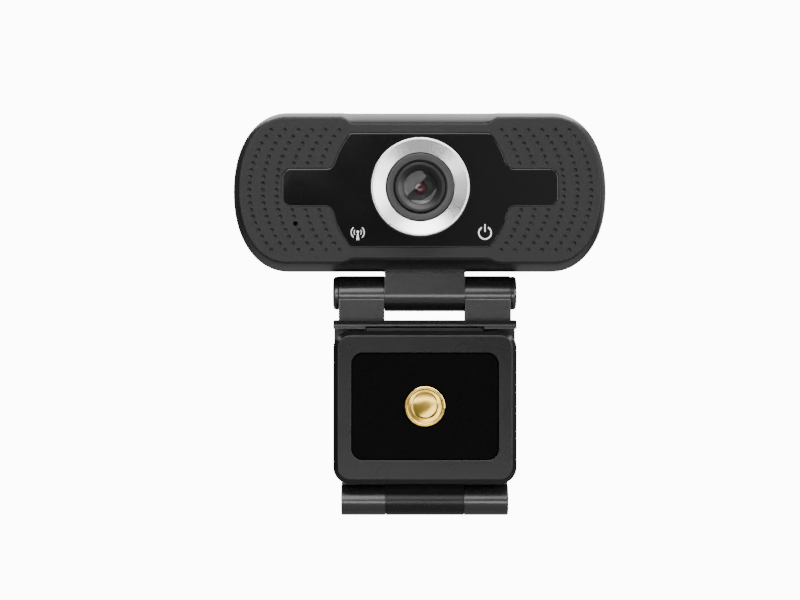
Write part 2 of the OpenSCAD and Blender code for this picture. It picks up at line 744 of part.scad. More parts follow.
module leg_frame() color("#333334") {
    mid_z = (leg_top + leg_bottom) / 2;
    floor_y = pad_recess + pad_t;
    difference() {
        union() {
            translate([0, 0, mid_z]) hull() {
                plate(0, 0.1) round_rect(clip_w - 2 * leg_chamfer, leg_h - 2 * leg_chamfer,
                                         leg_corner - leg_chamfer, $fn = 32);
                plate(leg_chamfer, leg_t - leg_chamfer)
                    round_rect(clip_w, leg_h, leg_corner, $fn = 32);
            }
            block([-tab_w / 2, lip_back + 0.4, leg_top - 1],
                  [tab_w / 2, leg_t - 1, leg_top + tab_h]);
            bar_x(-leg_knuckle_x, leg_knuckle_x, hinge_y, fold_z, fold_r);
            block([-leg_knuckle_x, hinge_y - fold_r + 0.1, fold_z],
                  [leg_knuckle_x, leg_t, leg_bottom + 1]);
        }
        plate(-1, 1 + floor_y) round_rect(pad_w + 0.1, pad_h + 0.1, pad_corner + 0.05);
        bar_y(0, 0, foot_hole_r, 0, insert_l + set_gap);
        plate(leg_t - grip_t + grip_proud, 2) round_rect(grip_w + 0.1, grip_h + 0.1, 1.5);
        bar_x(-clip_w, clip_w, hinge_y, fold_z, fold_sleeve_r + set_gap);
    }
}

module rubber_foot() color("#060606") difference() {
    plate(pad_recess, pad_t) round_rect(pad_w, pad_h, pad_corner);
    bar_y(0, 0, foot_hole_r, -1, 4);
}

module leg_grip_pad() grip_pad(leg_t - grip_t + grip_proud);

module tripod_insert() color("#d8b25c") rotate([-90, 0, 0]) rotate_extrude() polygon([
    [mouth_r, 0], [insert_r - 0.25, 0], [insert_r, 0.25], [insert_r, insert_l],
    [0, insert_l], [0, insert_l - 0.6], [thread_r, insert_l - 0.6],
    [thread_r, mouth_depth]
]);

module fold_friction_sleeve() color("#a8a8a4")
    sleeve(leg_knuckle_x - 0.6, hinge_y, fold_z, fold_sleeve_r, fold_pin_r + run_gap);

// ---- Nodes --------------------------------------------------------------------

rear_housing();
front_fascia();
glossy_panel();
lens_trim_ring();
lens_barrel();
lens_cell();
front_lens();
aperture_disc();
inner_lens();
lens_holder();
ir_cut_filter();
image_sensor();
main_board();
video_processor();
cable_connector();
board_parts();
board_screws();
case_screws();
status_leds();
light_guides();
signal_symbol();
power_symbol();
mic_capsule();
mic_boot();
cable_grommet();
neck_block();
swivel_washer();
swivel_retainer();
swivel_screw();
tilt_friction_sleeve();
clip_arm();
arm_grip_pad();
tilt_pin();
tilt_caps();
fold_pin();
leg_frame();
rubber_foot();
leg_grip_pad();
tripod_insert();
fold_friction_sleeve();
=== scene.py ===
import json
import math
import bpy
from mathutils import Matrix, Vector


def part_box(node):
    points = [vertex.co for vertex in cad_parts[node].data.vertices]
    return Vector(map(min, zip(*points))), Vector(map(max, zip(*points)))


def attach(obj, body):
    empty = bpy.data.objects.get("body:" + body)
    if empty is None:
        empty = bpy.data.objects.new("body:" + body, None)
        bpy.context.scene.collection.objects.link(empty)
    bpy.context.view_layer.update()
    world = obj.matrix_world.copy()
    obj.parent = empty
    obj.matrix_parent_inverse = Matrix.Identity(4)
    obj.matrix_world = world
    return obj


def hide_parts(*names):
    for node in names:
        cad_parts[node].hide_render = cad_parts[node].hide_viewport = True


bl_info = {
    "name": "Clip-on webcam",
    "version": (1, 0, 0),
    "blender": (4, 5, 0),
    "location": "View3D > Sidebar > Webcam",
    "description": "Finished pieces and studio for a clip-on webcam",
    "category": "Object",
}

import bmesh
import bpy
from bpy.props import FloatProperty, FloatVectorProperty, IntProperty, PointerProperty
from mathutils import Euler, Matrix, Vector

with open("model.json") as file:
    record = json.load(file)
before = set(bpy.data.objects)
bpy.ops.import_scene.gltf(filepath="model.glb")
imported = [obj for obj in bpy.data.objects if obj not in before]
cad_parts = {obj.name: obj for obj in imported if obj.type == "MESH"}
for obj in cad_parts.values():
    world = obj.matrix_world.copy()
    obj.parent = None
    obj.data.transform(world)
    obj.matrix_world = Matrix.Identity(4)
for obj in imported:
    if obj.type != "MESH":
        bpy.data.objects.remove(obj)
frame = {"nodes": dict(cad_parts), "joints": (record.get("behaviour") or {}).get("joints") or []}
MM = 0.001
ORIGIN = Vector((0, 0, 0))


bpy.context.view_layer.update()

# ---- Places and sizes, read from the frame ----

shell_lo, shell_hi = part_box("rear_housing")
fascia_lo, fascia_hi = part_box("front_fascia")
panel_lo, panel_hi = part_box("glossy_panel")
ring_lo, ring_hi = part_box("lens_trim_ring")
neck_lo, neck_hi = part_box("neck_block")
arm_lo, arm_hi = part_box("clip_arm")
leg_lo, leg_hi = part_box("leg_frame")
washer_lo, washer_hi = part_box("swivel_washer")
grommet_lo, grommet_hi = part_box("cable_grommet")

HEAD = Vector(((shell_lo.x + shell_hi.x) / 2, fascia_lo.y, (shell_lo.z + shell_hi.z) / 2))
HEAD_W = (shell_hi.x - shell_lo.x) / MM
HEAD_H = (shell_hi.z - shell_lo.z) / MM
BACK = (shell_hi.y - fascia_lo.y) / MM
LENS = Vector(((ring_lo.x + ring_hi.x) / 2, fascia_lo.y, (ring_lo.z + ring_hi.z) / 2))
joint_at = {j["name"]: Vector(j["pos_m"]) for j in frame["joints"]}
TILT = joint_at["head_tilt"]
FOLD = joint_at["clip_open"]
WASHER_R = (washer_hi.x - washer_lo.x) / 2 / MM
RING_R = (ring_hi.x - ring_lo.x) / 2 / MM
NECK_HALF = (neck_hi.x - neck_lo.x) / 2 / MM
GROMMET = Vector(((grommet_lo.x + grommet_hi.x) / 2, fascia_lo.y,
                  (grommet_lo.z + grommet_hi.z) / 2))
TILT_Y, TILT_Z = TILT.y / MM, TILT.z / MM
FOLD_Y, FOLD_Z = FOLD.y / MM, FOLD.z / MM

# ---- Sizes that two or more pieces share, in mm ----

# Rounding of an edge at a joint, and of an outer edge
JOINT_ROUND, OUTER_ROUND = 0.1, 0.24
# Gap between knuckles, and how far a boss fills it
KNUCKLE_GAP, BOSS_GAP = 0.08, 0.02
# Half the width of the leg's knuckle, and the radius of the fold's knuckles
LEG_KNUCKLE, FOLD_R = 7.9, 3.1
# Holes for the two pins run right through
TILT_PIN_R, FOLD_PIN_R, THROUGH = 1.52, 1.27, 20
# A case screw's centre, from the head's end
SCREW_IN = 6.85
# The microphone's hole, from the head's centre
MIC_X, MIC_Z = -24.5, -6.6
# Width, height and corner of a grip pad, of its recess, and of the foot and its pocket
PAD, PAD_RECESS = (26, 18, 1.45), (26.1, 18.1, 1.5)
FOOT, FOOT_POCKET = (29.4, 21.4, 2.2), (29.5, 21.5, 2.25)


def length(label, note, size, low, high):
    """A length that can be changed in the panel, given in mm."""
    return FloatProperty(name=label, description=note, default=size * MM, min=low * MM,
                         max=high * MM, precision=5, unit="LENGTH")


def paint(label, note, value):
    """A base colour that can be changed in the panel."""
    return FloatVectorProperty(name=label, description=note, subtype="COLOR",
                               default=value, min=0, max=1)


class WebcamSizes(bpy.types.PropertyGroup):
    """Sizes of the details that the fixed frame doesn't carry."""

    dimple_radius: length(
        "Dimple radius", "Radius of a dimple at the fascia's face", 0.41, 0.2, 0.5)
    dimple_depth: length("Dimple depth", "Depth of a dimple", 0.3, 0.05, 0.35)
    dimple_rows: IntProperty(
        name="Dimple rows", description="Rows of dimples from top to bottom", default=19,
        min=5, max=25)
    dimple_columns: IntProperty(
        name="Dimple columns", description="Curved columns of dimples at each end",
        default=6, min=1, max=8)
    dimple_pitch: length("Dimple pitch", "Distance from row to row", 1.31, 1, 2)
    column_pitch: length("Column pitch", "Distance from column to column", 2.67, 1, 4)
    grip_rib: length("Grip rib pitch", "Distance between ribs on the grip pads", 1.5, 1, 3)


class WebcamColours(bpy.types.PropertyGroup):
    """Base colours of the finishes, as linear light."""

    shell: paint("Shell", "Satin plastic of the housing", (0.0052, 0.0052, 0.0055))
    fascia: paint("Fascia", "Matt plastic of the fascia", (0.0078, 0.0078, 0.008))
    clip: paint("Clip", "Satin plastic of the neck and the clip", (0.0062, 0.0062, 0.0064))
    panel: paint("Panel", "Gloss plastic round the lens", (0.0012, 0.0012, 0.0013))
    silver: paint("Silver", "Turned aluminium of the lens ring", (0.73, 0.73, 0.74))
    brass: paint("Brass", "Turned brass of the tripod insert", (0.6, 0.4, 0.075))
    rubber: paint("Rubber", "Soft black rubber", (0.0006, 0.0006, 0.0006))


# ---- Shader node groups ----


def wire(source, target):
    """Links two sockets of one node tree."""
    target.id_data.links.new(source, target)


def new_group(name, numbers, outputs):
    """A node group that takes a vector and numbers and gives numbers, with its two ends."""
    group = bpy.data.node_groups.new(name, "ShaderNodeTree")
    group.interface.new_socket("Vector", in_out="INPUT", socket_type="NodeSocketVector")
    for label, value in numbers.items():
        group.interface.new_socket(
            label, in_out="INPUT", socket_type="NodeSocketFloat").default_value = value
    for label in outputs:
        group.interface.new_socket(label, in_out="OUTPUT", socket_type="NodeSocketFloat")
    return group, group.nodes.new("NodeGroupInput"), group.nodes.new("NodeGroupOutput")


def add_noise(tree, vector, **values):
    """A noise texture with its own values. Returns its factor."""
    node = tree.nodes.new("ShaderNodeTexNoise")
    wire(vector, node.inputs["Vector"])
    for label, value in values.items():
        node.inputs[label.capitalize()].default_value = value
    return node.outputs["Fac"]


def add_math(tree, operation, a, b=None, clamp=False):
    """A Math node whose inputs are sockets or numbers. Returns its output."""
    node = tree.nodes.new("ShaderNodeMath")
    node.operation = operation
    node.use_clamp = clamp
    for slot, value in enumerate((a, b)):
        if value is None:
            continue
        if hasattr(value, "is_output"):
            wire(value, node.inputs[slot])
        else:
            node.inputs[slot].default_value = value
    return node.outputs[0]


def build_moulded_grain():
    """Fine spark-eroded texture of moulded plastic: a height and a soft shade."""
    group, entry, end = new_group(
        "moulded grain", {"Grain size": 0.0002, "Patchiness": 0.5}, ("Height", "Shade"))
    fine = add_noise(group, entry.outputs["Vector"], detail=3, roughness=0.6)
    scale = add_math(group, "DIVIDE", 1.0, entry.outputs["Grain size"])
    wire(scale, fine.node.inputs["Scale"])
    broad = add_noise(group, entry.outputs["Vector"], scale=90, detail=4)
    patch = add_math(group, "MULTIPLY", broad, entry.outputs["Patchiness"])
    wire(fine, end.inputs["Height"])
    half = add_math(group, "MULTIPLY", fine, 0.5)
    wire(add_math(group, "ADD", half, patch, True), end.inputs["Shade"])
    return group


def build_edge_wear():
    """A mask that is 1 on convex edges, broken up by noise."""
    flat_pointiness = 0.52
    group, entry, end = new_group("edge wear", {"Sharpness": 9.0, "Breakup": 0.5}, ("Mask",))
    geometry = group.nodes.new("ShaderNodeNewGeometry")
    noise = add_noise(group, entry.outputs["Vector"], scale=900)
    bent = add_math(group, "SUBTRACT", geometry.outputs["Pointiness"], flat_pointiness)
    bent = add_math(group, "MULTIPLY", bent, entry.outputs["Sharpness"], True)
    broken = add_math(group, "MULTIPLY", noise, entry.outputs["Breakup"])
    broken = add_math(group, "SUBTRACT", 1.0, broken)
    wire(add_math(group, "MULTIPLY", bent, broken, True), end.inputs["Mask"])
    return group


def build_turned_marks():
    """Concentric tool marks round the Y axis through the vector's origin."""
    group, entry, end = new_group(
        "turned marks", {"Pitch": 0.0001, "Waver": 0.3}, ("Height", "Streak"))
    split = group.nodes.new("ShaderNodeSeparateXYZ")
    wire(entry.outputs["Vector"], split.inputs[0])
    x, z = split.outputs["X"], split.outputs["Z"]
    square = add_math(
        group, "ADD", add_math(group, "MULTIPLY", x, x), add_math(group, "MULTIPLY", z, z))
    radius = add_math(group, "SQRT", square)
    turns = add_math(group, "DIVIDE", radius, entry.outputs["Pitch"])
    around = add_math(group, "ARCTAN2", z, x)
    join_up = group.nodes.new("ShaderNodeCombineXYZ")
    wire(turns, join_up.inputs["X"])
    waver = add_math(group, "MULTIPLY", around, entry.outputs["Waver"])
    wire(waver, join_up.inputs["Y"])
    streak = add_noise(group, join_up.outputs[0], scale=1, detail=2)
    wave = add_math(group, "SINE", add_math(group, "MULTIPLY", turns, 2 * math.pi))
    wave = add_math(group, "MULTIPLY", wave, 0.2)
    wire(add_math(group, "ADD", streak, wave), end.inputs["Height"])
    wire(streak, end.inputs["Streak"])
    return group


def build_handling():
    """Faint smears, added to a roughness, and a mask of dust specks."""
    speck_size = 0.06
    group, entry, end = new_group(
        "handling", {"Roughness": 0.3, "Amount": 0.1}, ("Roughness", "Dust"))
    smear = add_noise(group, entry.outputs["Vector"], scale=140, detail=2, distortion=0.15)
    dust = group.nodes.new("ShaderNodeTexVoronoi")
    dust.inputs["Scale"].default_value = 700
    wire(entry.outputs["Vector"], dust.inputs["Vector"])
    speck = add_math(group, "LESS_THAN", dust.outputs["Distance"], speck_size)
    wire(speck, end.inputs["Dust"])
    extra = add_math(group, "SUBTRACT", smear, 0.5)
    extra = add_math(group, "MULTIPLY", extra, entry.outputs["Amount"])
    extra = add_math(group, "ADD", extra, entry.outputs["Roughness"], True)
    wire(extra, end.inputs["Roughness"])
    return group


GROUPS = {}


def group_node(tree, key, vector=None, **values):
    """Places the named group in a material, with its own values."""
    builders = {"moulded grain": build_moulded_grain, "edge wear": build_edge_wear,
                "turned marks": build_turned_marks, "handling": build_handling}
    if key not in GROUPS:
        GROUPS[key] = builders[key]()
    node = tree.nodes.new("ShaderNodeGroup")
    node.node_tree = GROUPS[key]
    if vector is not None:
        wire(vector, node.inputs["Vector"])
    for label, value in values.items():
        node.inputs[label.replace("_", " ").capitalize()].default_value = value
    return node


# ---- Materials ----

# How much paler than the face a worn edge is, as linear light
EDGE_LIFT = 0.01


def start_material(name):
    """A material with its Principled shader and object coordinates."""
    material = bpy.data.materials.new(name)
    material.use_nodes = True
    tree = material.node_tree
    shader = tree.nodes["Principled BSDF"]
    place = tree.nodes.new("ShaderNodeTexCoord").outputs["Object"]
    return material, tree, shader, place


def tint(shader, low, high, factor):
    """Base colour that runs from low to high with factor."""
    ramp = shader.id_data.nodes.new("ShaderNodeMix")
    ramp.data_type = "RGBA"
    ramp.inputs["A"].default_value = (*low, 1)
    ramp.inputs["B"].default_value = (*high, 1)
    wire(factor, ramp.inputs["Factor"])
    wire(ramp.outputs["Result"], shader.inputs["Base Color"])
    return ramp


def roughen(shader, height, strength, distance):
    """Feeds a height into the shader's normal."""
    bump = shader.id_data.nodes.new("ShaderNodeBump")
    bump.inputs["Strength"].default_value = strength
    bump.inputs["Distance"].default_value = distance
    wire(height, bump.inputs["Height"])
    wire(bump.outputs["Normal"], shader.inputs["Normal"])


def smear(shader, place, rough, amount):
    """Roughness with faint smears. Returns the mask of dust specks."""
    handled = group_node(shader.id_data, "handling", place, roughness=rough, amount=amount)
    wire(handled.outputs["Roughness"], shader.inputs["Roughness"])
    return handled.outputs["Dust"]


def shade(colour, factor):
    return tuple(min(1.0, c * factor) for c in colour)


def moulded_plastic(name, colour, rough, grain=0.00022, depth=0.4, wear=0.12, sheen=0.5):
    """Moulded plastic with a fine texture and slightly paler edges."""
    material, tree, shader, place = start_material(name)
    shader.inputs["Specular IOR Level"].default_value = sheen
    texture = group_node(tree, "moulded grain", place, grain_size=grain, patchiness=0.5)
    worn = group_node(tree, "edge wear", place, sharpness=10.0, breakup=0.4)
    base = tint(shader, shade(colour, 0.82), shade(colour, 1.2), texture.outputs["Shade"])
    edge = tree.nodes.new("ShaderNodeMix")
    edge.data_type = "RGBA"
    edge.inputs["B"].default_value = (*[c + EDGE_LIFT for c in colour], 1)
    wire(base.outputs["Result"], edge.inputs["A"])
    amount = add_math(tree, "MULTIPLY", worn.outputs["Mask"], wear)
    wire(amount, edge.inputs["Factor"])
    wire(edge.outputs["Result"], shader.inputs["Base Color"])
    smear(shader, place, rough, 0.06)
    roughen(shader, texture.outputs["Height"], depth, 0.00001)
    return material


def gloss_plastic(name, colour, rough=0.07):
    """Polished plastic with faint smears and dust."""
    material, tree, shader, place = start_material(name)
    tint(shader, colour, shade(colour, 3), smear(shader, place, rough, 0.07))
    texture = group_node(tree, "moulded grain", place, grain_size=0.004, patchiness=0.2)
    roughen(shader, texture.outputs["Height"], 0.03, 0.00002)
    shader.inputs["Coat Weight"].default_value = 0.3
    shader.inputs["Coat Roughness"].default_value = 0.03
    return material


def turned_metal(name, colour, rough, centre=None, pitch=0.00012, depth=0.25, stretch=0.0):
    """Lathe-turned metal with concentric marks round centre."""
    material, tree, shader, place = start_material(name)
    if centre is not None:
        move = tree.nodes.new("ShaderNodeMapping")
        move.inputs["Location"].default_value = -centre
        wire(place, move.inputs["Vector"])
        place = move.outputs["Vector"]
    marks = group_node(tree, "turned marks", place, pitch=pitch, waver=0.3)
    tint(shader, shade(colour, 0.86), shade(colour, 1.04), marks.outputs["Streak"])
    smear(shader, place, rough, 0.1)
    roughen(shader, marks.outputs["Height"], depth, 0.00002)
    shader.inputs["Metallic"].default_value = 1
    if stretch:
        shader.inputs["Anisotropic"].default_value = stretch
        around = tree.nodes.new("ShaderNodeTangent")
        around.direction_type = "RADIAL"
        around.axis = "Y"
        wire(around.outputs["Tangent"], shader.inputs["Tangent"])
    return material


def soft_rubber(name, colour):
    """Matt rubber with a fine skin."""
    material, tree, shader, place = start_material(name)
    shader.inputs["Specular IOR Level"].default_value = 0.02
    texture = group_node(tree, "moulded grain", place, grain_size=0.00035, patchiness=0.6)
    tint(shader, shade(colour, 0.8), shade(colour, 1.5), texture.outputs["Shade"])
    smear(shader, place, 0.62, 0.2)
    roughen(shader, texture.outputs["Height"], 0.35, 0.00005)
    return material


def coated_glass(name, colour, ior, rough=0.0, film=0.0, weight=1.0):
    """Clear optical glass or resin; film is the thickness of a coating in nanometres."""
    material, tree, shader, place = start_material(name)
    tint(shader, colour, shade(colour, 0.9), smear(shader, place, rough, 0.02))
    shader.inputs["Transmission Weight"].default_value = weight
    shader.inputs["IOR"].default_value = ior
    if film:
        shader.inputs["Thin Film Thickness"].default_value = film
        shader.inputs["Thin Film IOR"].default_value = 1.38
    return material


def board_laminate(name):
    """Green solder mask over copper tracks."""
    material, tree, shader, place = start_material(name)
    tracks = tree.nodes.new("ShaderNodeTexBrick")
    tracks.inputs["Scale"].default_value = 260
    tracks.inputs["Mortar Size"].default_value = 0.03
    turn = tree.nodes.new("ShaderNodeMapping")
    turn.inputs["Rotation"].default_value = (math.pi / 2, 0, 0)
    wire(place, turn.inputs["Vector"])
    wire(turn.outputs["Vector"], tracks.inputs["Vector"])
    tint(shader, (0.006, 0.09, 0.035), (0.02, 0.16, 0.07), tracks.outputs["Fac"])
    smear(shader, place, 0.3, 0.1)
    roughen(shader, tracks.outputs["Fac"], 0.3, 0.00003)
    return material


FINISHES = {}


def finish_of(name):
    """The finish with that name, made the first time it is asked for."""
    colours = bpy.context.scene.webcam_colours
    lens_centre = Vector((LENS.x, 0, LENS.z))
    plastic, gloss, metal, glass = moulded_plastic, gloss_plastic, turned_metal, coated_glass
    makers = {
        "shell": lambda: plastic("satin shell", colours.shell, 0.3, sheen=0.45),
        "fascia": lambda: plastic(
            "matt fascia", colours.fascia, 0.5, 0.00028, 0.6, sheen=0.16),
        "clip": lambda: plastic(
            "satin clip", colours.clip, 0.24, 0.0003, 0.02, 0.02, 0.62),
        # The leg's finish is the clip's plastic with painted shade: half its colour and less
        # sheen, so the leg reads darker than the arm.
        "leg": lambda: plastic(
            "satin clip painted shade", shade(colours.clip, 0.5), 0.28, 0.0003, 0.02, 0.02, 0.24),
        "barrel": lambda: plastic(
            "lens barrel", (0.0085, 0.0075, 0.008), 0.42, 0.0003, 0.2, sheen=0.4),
        # The lens cell's finish is the barrel's plastic with painted shade: a third of its
        # colour and less sheen, darker in the recess round the glass.
        "cell": lambda: plastic(
            "lens cell", (0.003, 0.003, 0.0034), 0.4, 0.0003, 0.2, sheen=0.25),
        # The iris cone's finish is the barrel's plastic with painted shade: a fifth of its
        # colour, darker still deep inside the lens.
        "iris": lambda: plastic(
            "iris painted shade", (0.0016, 0.0016, 0.0018), 0.45, 0.0003, 0.1, 0, 0.2),
        "mark": lambda: plastic("printed mark", (0.5,) * 3, 0.5, 0.0002, 0.1, 0),
        "washer": lambda: plastic("acetal washer", (0.01,) * 3, 0.35, 0.0002, 0.1, 0),
        "ivory": lambda: plastic("nylon socket", (0.62, 0.58, 0.42), 0.4, 0.0002, 0.2, 0),
        "chip": lambda: plastic("chip resin", (0.012,) * 3, 0.55, 0.00015, 0.5, 0),
        "inner plastic": lambda: plastic("inner plastic", (0.012,) * 3, 0.6),
        "panel": lambda: gloss("gloss panel", colours.panel),
        "inner glass": lambda: gloss("inner lens glass", (0.07, 0.008, 0.014), 0.05),
        "sensor": lambda: gloss("sensor window", (0.02, 0.035, 0.03)),
        "lamp": lambda: gloss("lamp resin", (0.7, 0.7, 0.6), 0.2),
        "silver": lambda: metal(
            "turned silver", colours.silver, 0.24, lens_centre, 0.00013, 0.2, 0.75),
        "steel": lambda: metal("bright steel", (0.56, 0.56, 0.55), 0.3),
        "black screw": lambda: metal("black screw", (0.03, 0.03, 0.032), 0.35),
        "brass": lambda: metal("turned brass", colours.brass, 0.2, ORIGIN, 0.0002, 0.12),
        "glass": lambda: glass("coated lens glass", (0.98, 0.98, 0.99), 1.3),
        "filter": lambda: glass("filter glass", (0.75, 0.3, 0.4), 1.5, 0, 600, 0.7),
        "clear": lambda: glass("light guide resin", (0.9, 0.93, 0.95), 1.49, 0.05),
        "rubber": lambda: soft_rubber("soft rubber", colours.rubber),
        "board": lambda: board_laminate("circuit board"),
    }
    if name not in FINISHES:
        FINISHES[name] = makers[name]()
    return FINISHES[name]


# ---- Modelling helpers ----


def clear_selection():
    """Object mode with nothing selected."""
    if bpy.context.object and bpy.context.object.mode != "OBJECT":
        bpy.ops.object.mode_set(mode="OBJECT")
    bpy.ops.object.select_all(action="DESELECT")


def pick(*pieces):
    """Selects these pieces, the first of them active."""
    clear_selection()
    for piece in pieces:
        piece.select_set(True)
    bpy.context.view_layer.objects.active = pieces[0]
    return pieces[0]


def drawn_through(name, rings, solid=True):
    """A skin extruded from ring to ring. solid closes its ends, else the rings form a loop."""
    clear_selection()
    bpy.ops.mesh.primitive_circle_add(
        vertices=len(rings[0]), radius=1, fill_type="NGON" if solid else "NOTHING")
    piece = bpy.context.object
    piece.name = name
    bpy.ops.object.mode_set(mode="EDIT")
    bpy.ops.mesh.select_all(action="SELECT")
    mesh = bmesh.from_edit_mesh(piece.data)
    place = mesh.verts.layers.int.new("place")
    mesh = bmesh.from_edit_mesh(piece.data)
    mesh.verts.ensure_lookup_table()
    for number, vert in enumerate(mesh.verts):
        vert[place] = number
        vert.co = rings[0][number]
    bmesh.update_edit_mesh(piece.data)
    for ring in rings[1:]:
        bpy.ops.mesh.extrude_region_move()
        mesh = bmesh.from_edit_mesh(piece.data)
        place = mesh.verts.layers.int["place"]
        for vert in mesh.verts:
            if vert.select:
                vert.co = ring[vert[place]]
        bmesh.update_edit_mesh(piece.data)
    bpy.ops.mesh.select_all(action="SELECT")
    bpy.ops.mesh.remove_doubles(threshold=1e-7)
    bpy.ops.mesh.normals_make_consistent(inside=False)
    bpy.ops.object.mode_set(mode="OBJECT")
    piece.data.attributes.remove(piece.data.attributes["place"])
    return piece


def turned(name, outline, centre, axis="-Y", steps=96, solid=True):
    """A lathe-turned piece. outline is [radius, distance along axis] in mm."""
    least = 0.01
    sign, along = (-1 if axis[0] == "-" else 1), "XYZ".index(axis[1])

    def spot(r, a, h):
        place = [r * math.cos(a), r * math.sin(a)]
        place.insert(along, sign * h)
        return centre + MM * Vector(place)
    points = list(outline) + ([] if solid else [outline[0]])
    rings = [[spot(max(r, least), 2 * math.pi * k / steps, h) for k in range(steps)]
             for r, h in points]
    return drawn_through(name, rings, solid)


def across(name, outline, x0, x1, first, last=None):
    """A profile in the side view, extruded along X, with rounded end edges."""
    def ring(x, inset):
        return [Vector((x * MM, p[0] * MM, p[1] * MM)) for p in inset_outline(outline, inset)]
    last = first if last is None else last
    steps = [(x0, 0.7 * first), (x0 + 0.3 * first, 0.25 * first), (x0 + first, 0),
             (x1 - last, 0), (x1 - 0.3 * last, 0.25 * last), (x1, 0.7 * last)]
    return drawn_through(name, [ring(x, i) for x, i in steps])


def web(name, outline, near, far, side):
    """A web on one side of a joint: a crisp edge at the joint, a softer one outside."""
    if side < 0:
        return across(name, outline, -far, -near, OUTER_ROUND, JOINT_ROUND)
    return across(name, outline, near, far, JOINT_ROUND, OUTER_ROUND)


def inset_outline(points, inset):
    """Moves a closed outline inwards by inset, keeping its number of points."""
    if not inset:
        return [Vector(p) for p in points]
    n = len(points)
    area = sum(points[k][0] * points[(k + 1) % n][1] - points[(k + 1) % n][0] * points[k][1]
               for k in range(n))
    side = 1 if area > 0 else -1
    result = []
    for k in range(n):
        p, a, b = Vector(points[k]), Vector(points[k - 1]), Vector(points[(k + 1) % n])
        u, v = (p - a).normalized(), (b - p).normalized()
        n1, n2 = side * Vector((-u.y, u.x)), side * Vector((-v.y, v.x))
        mid = (n1 + n2).normalized()
        result.append(p + mid * (inset / max(0.35, mid.dot(n1))))
    return result


def arc_points(cx, cy, r, a0, a1, steps):
    """Points on an arc in a plane, angles in degrees."""
    return [(cx + r * math.cos(math.radians(a0 + (a1 - a0) * k / steps)),
             cy + r * math.sin(math.radians(a0 + (a1 - a0) * k / steps)))
            for k in range(steps + 1)]


def round_rect(w, h, r, cx=0.0, cz=0.0, steps=8):
    """Outline of a rectangle with round corners, in mm."""
    points = []
    for sx, sz, a in ((1, 1, 0), (-1, 1, 90), (-1, -1, 180), (1, -1, 270)):
        points += arc_points(cx + sx * (w / 2 - r), cz + sz * (h / 2 - r), r, a, a + 90, steps)
    return points


def stack(name, layers):
    """A plate built up along Y: each layer is (depth in mm, outline in mm)."""
    return drawn_through(name, [
        [Vector((p[0] * MM, y * MM, p[1] * MM)) for p in outline] for y, outline in layers])


def combine(piece, tool, operation):
    """Cuts tool out of piece, or fuses it on, and removes tool."""
    pick(piece)
    bpy.ops.object.modifier_add(type="BOOLEAN")
    step = piece.modifiers[-1]
    step.object = tool
    step.operation = operation
    step.solver = "EXACT"
    bpy.ops.object.modifier_apply(modifier=step.name)
    bpy.data.objects.remove(tool)
    return piece


def cut(piece, tool):
    return combine(piece, tool, "DIFFERENCE")


def fuse(piece, tool):
    return combine(piece, tool, "UNION")


def join(*pieces):
    """Makes one object of several, under the first one's name."""
    pick(*pieces)
    bpy.ops.object.join()
    return bpy.context.object


def drill(piece, r, start, stop, at, axis="+Y", steps=48):
    """Drills a round hole of radius r from start to stop along axis, in mm."""
    return cut(piece, turned("drill", [(r, start), (r, stop)], at, axis, steps))


def hand_over(piece, body, finish, slot, *nodes, angle=32):
    """Shades the piece, gives it its finish, puts it on its body and hides the frame's nodes it
    stands for.
    """
    pick(piece)
    bpy.ops.object.transform_apply(location=True, rotation=True, scale=True)
    bpy.ops.object.shade_smooth_by_angle(angle=math.radians(angle))
    bpy.ops.object.modifier_add(type="WEIGHTED_NORMAL")
    piece.modifiers[-1].keep_sharp = True
    bpy.ops.object.modifier_apply(modifier=piece.modifiers[-1].name)
    piece.data.name = piece.name
    piece.data.materials.clear()
    piece.data.materials.append(finish_of(finish))
    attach(piece, body)
    if nodes:
        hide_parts(*nodes)
    clear_selection()
    return piece


# ---- Outlines of the head ----

END_LENGTH, END_POWER = 11.1, 2.15
SCOOP_TOP, SCOOP_BOTTOM, SCOOP_HALF, SCOOP_RUN = 1.2, 0.8, 12.9, 2.9
SEAM, WALL, BACK_ROUND = 1.3, 1.6, 8.2
FASCIA_INSET = 1.65
MOUTH_INSET = FASCIA_INSET - 0.15
PANEL_R, PANEL_ARM = 17.7, 3.65
BELLY = SEAM + 0.37 * (BACK - SEAM)


def signed_power(value, power):
    return math.copysign(abs(value) ** power, value)


def head_outline(inset, share=1.0):
    """The head's outline in the front view, drawn in by inset, in mm from its centre."""
    points = []
    for side in (1, -1):
        depth = SCOOP_TOP if side > 0 else SCOOP_BOTTOM
        for k in range(49):
            a = math.radians(-90 * side + 3.75 * k) if side > 0 else math.radians(90 + 3.75 * k)
            x = (END_LENGTH - inset) * signed_power(math.cos(a), 2 / END_POWER)
            z = (HEAD_H / 2 - inset) * signed_power(math.sin(a), 2 / END_POWER)
            if abs(math.cos(a)) < 1e-9:
                x = 0.0
            points.append((side * (HEAD_W / 2 - END_LENGTH) + x, z))
        for end in (1, -1):
            for k in range(9):
                u = k / 8 if end > 0 else 1 - k / 8
                drop = depth * share * (1 - math.cos(math.pi * u)) / 2
                points.append((side * end * (SCOOP_HALF + SCOOP_RUN * (1 - u)),
                               side * (HEAD_H / 2 - inset - drop)))
    return points


def shell_inset(y, last):
    if y < BELLY:
        return MOUTH_INSET * (1 - (y - SEAM) / (BELLY - SEAM)) ** 2
    u = (y - BELLY) / (last - BELLY)
    return BACK_ROUND * (1 - math.sqrt(max(0.0, 1 - u ** 3)))


def on_head(outline, y):
    """An outline in mm from the head's centre, as a ring at depth y."""
    return [HEAD + MM * Vector((x, y, z)) for x, z in outline]


def head_ring(y, inset, share):
    return on_head(head_outline(inset, share), y)


def screw_places():
    """The centres of the two case screws, on the front plane."""
    return [HEAD + MM * Vector((side * (HEAD_W / 2 - SCREW_IN), 0, 0)) for side in (-1, 1)]


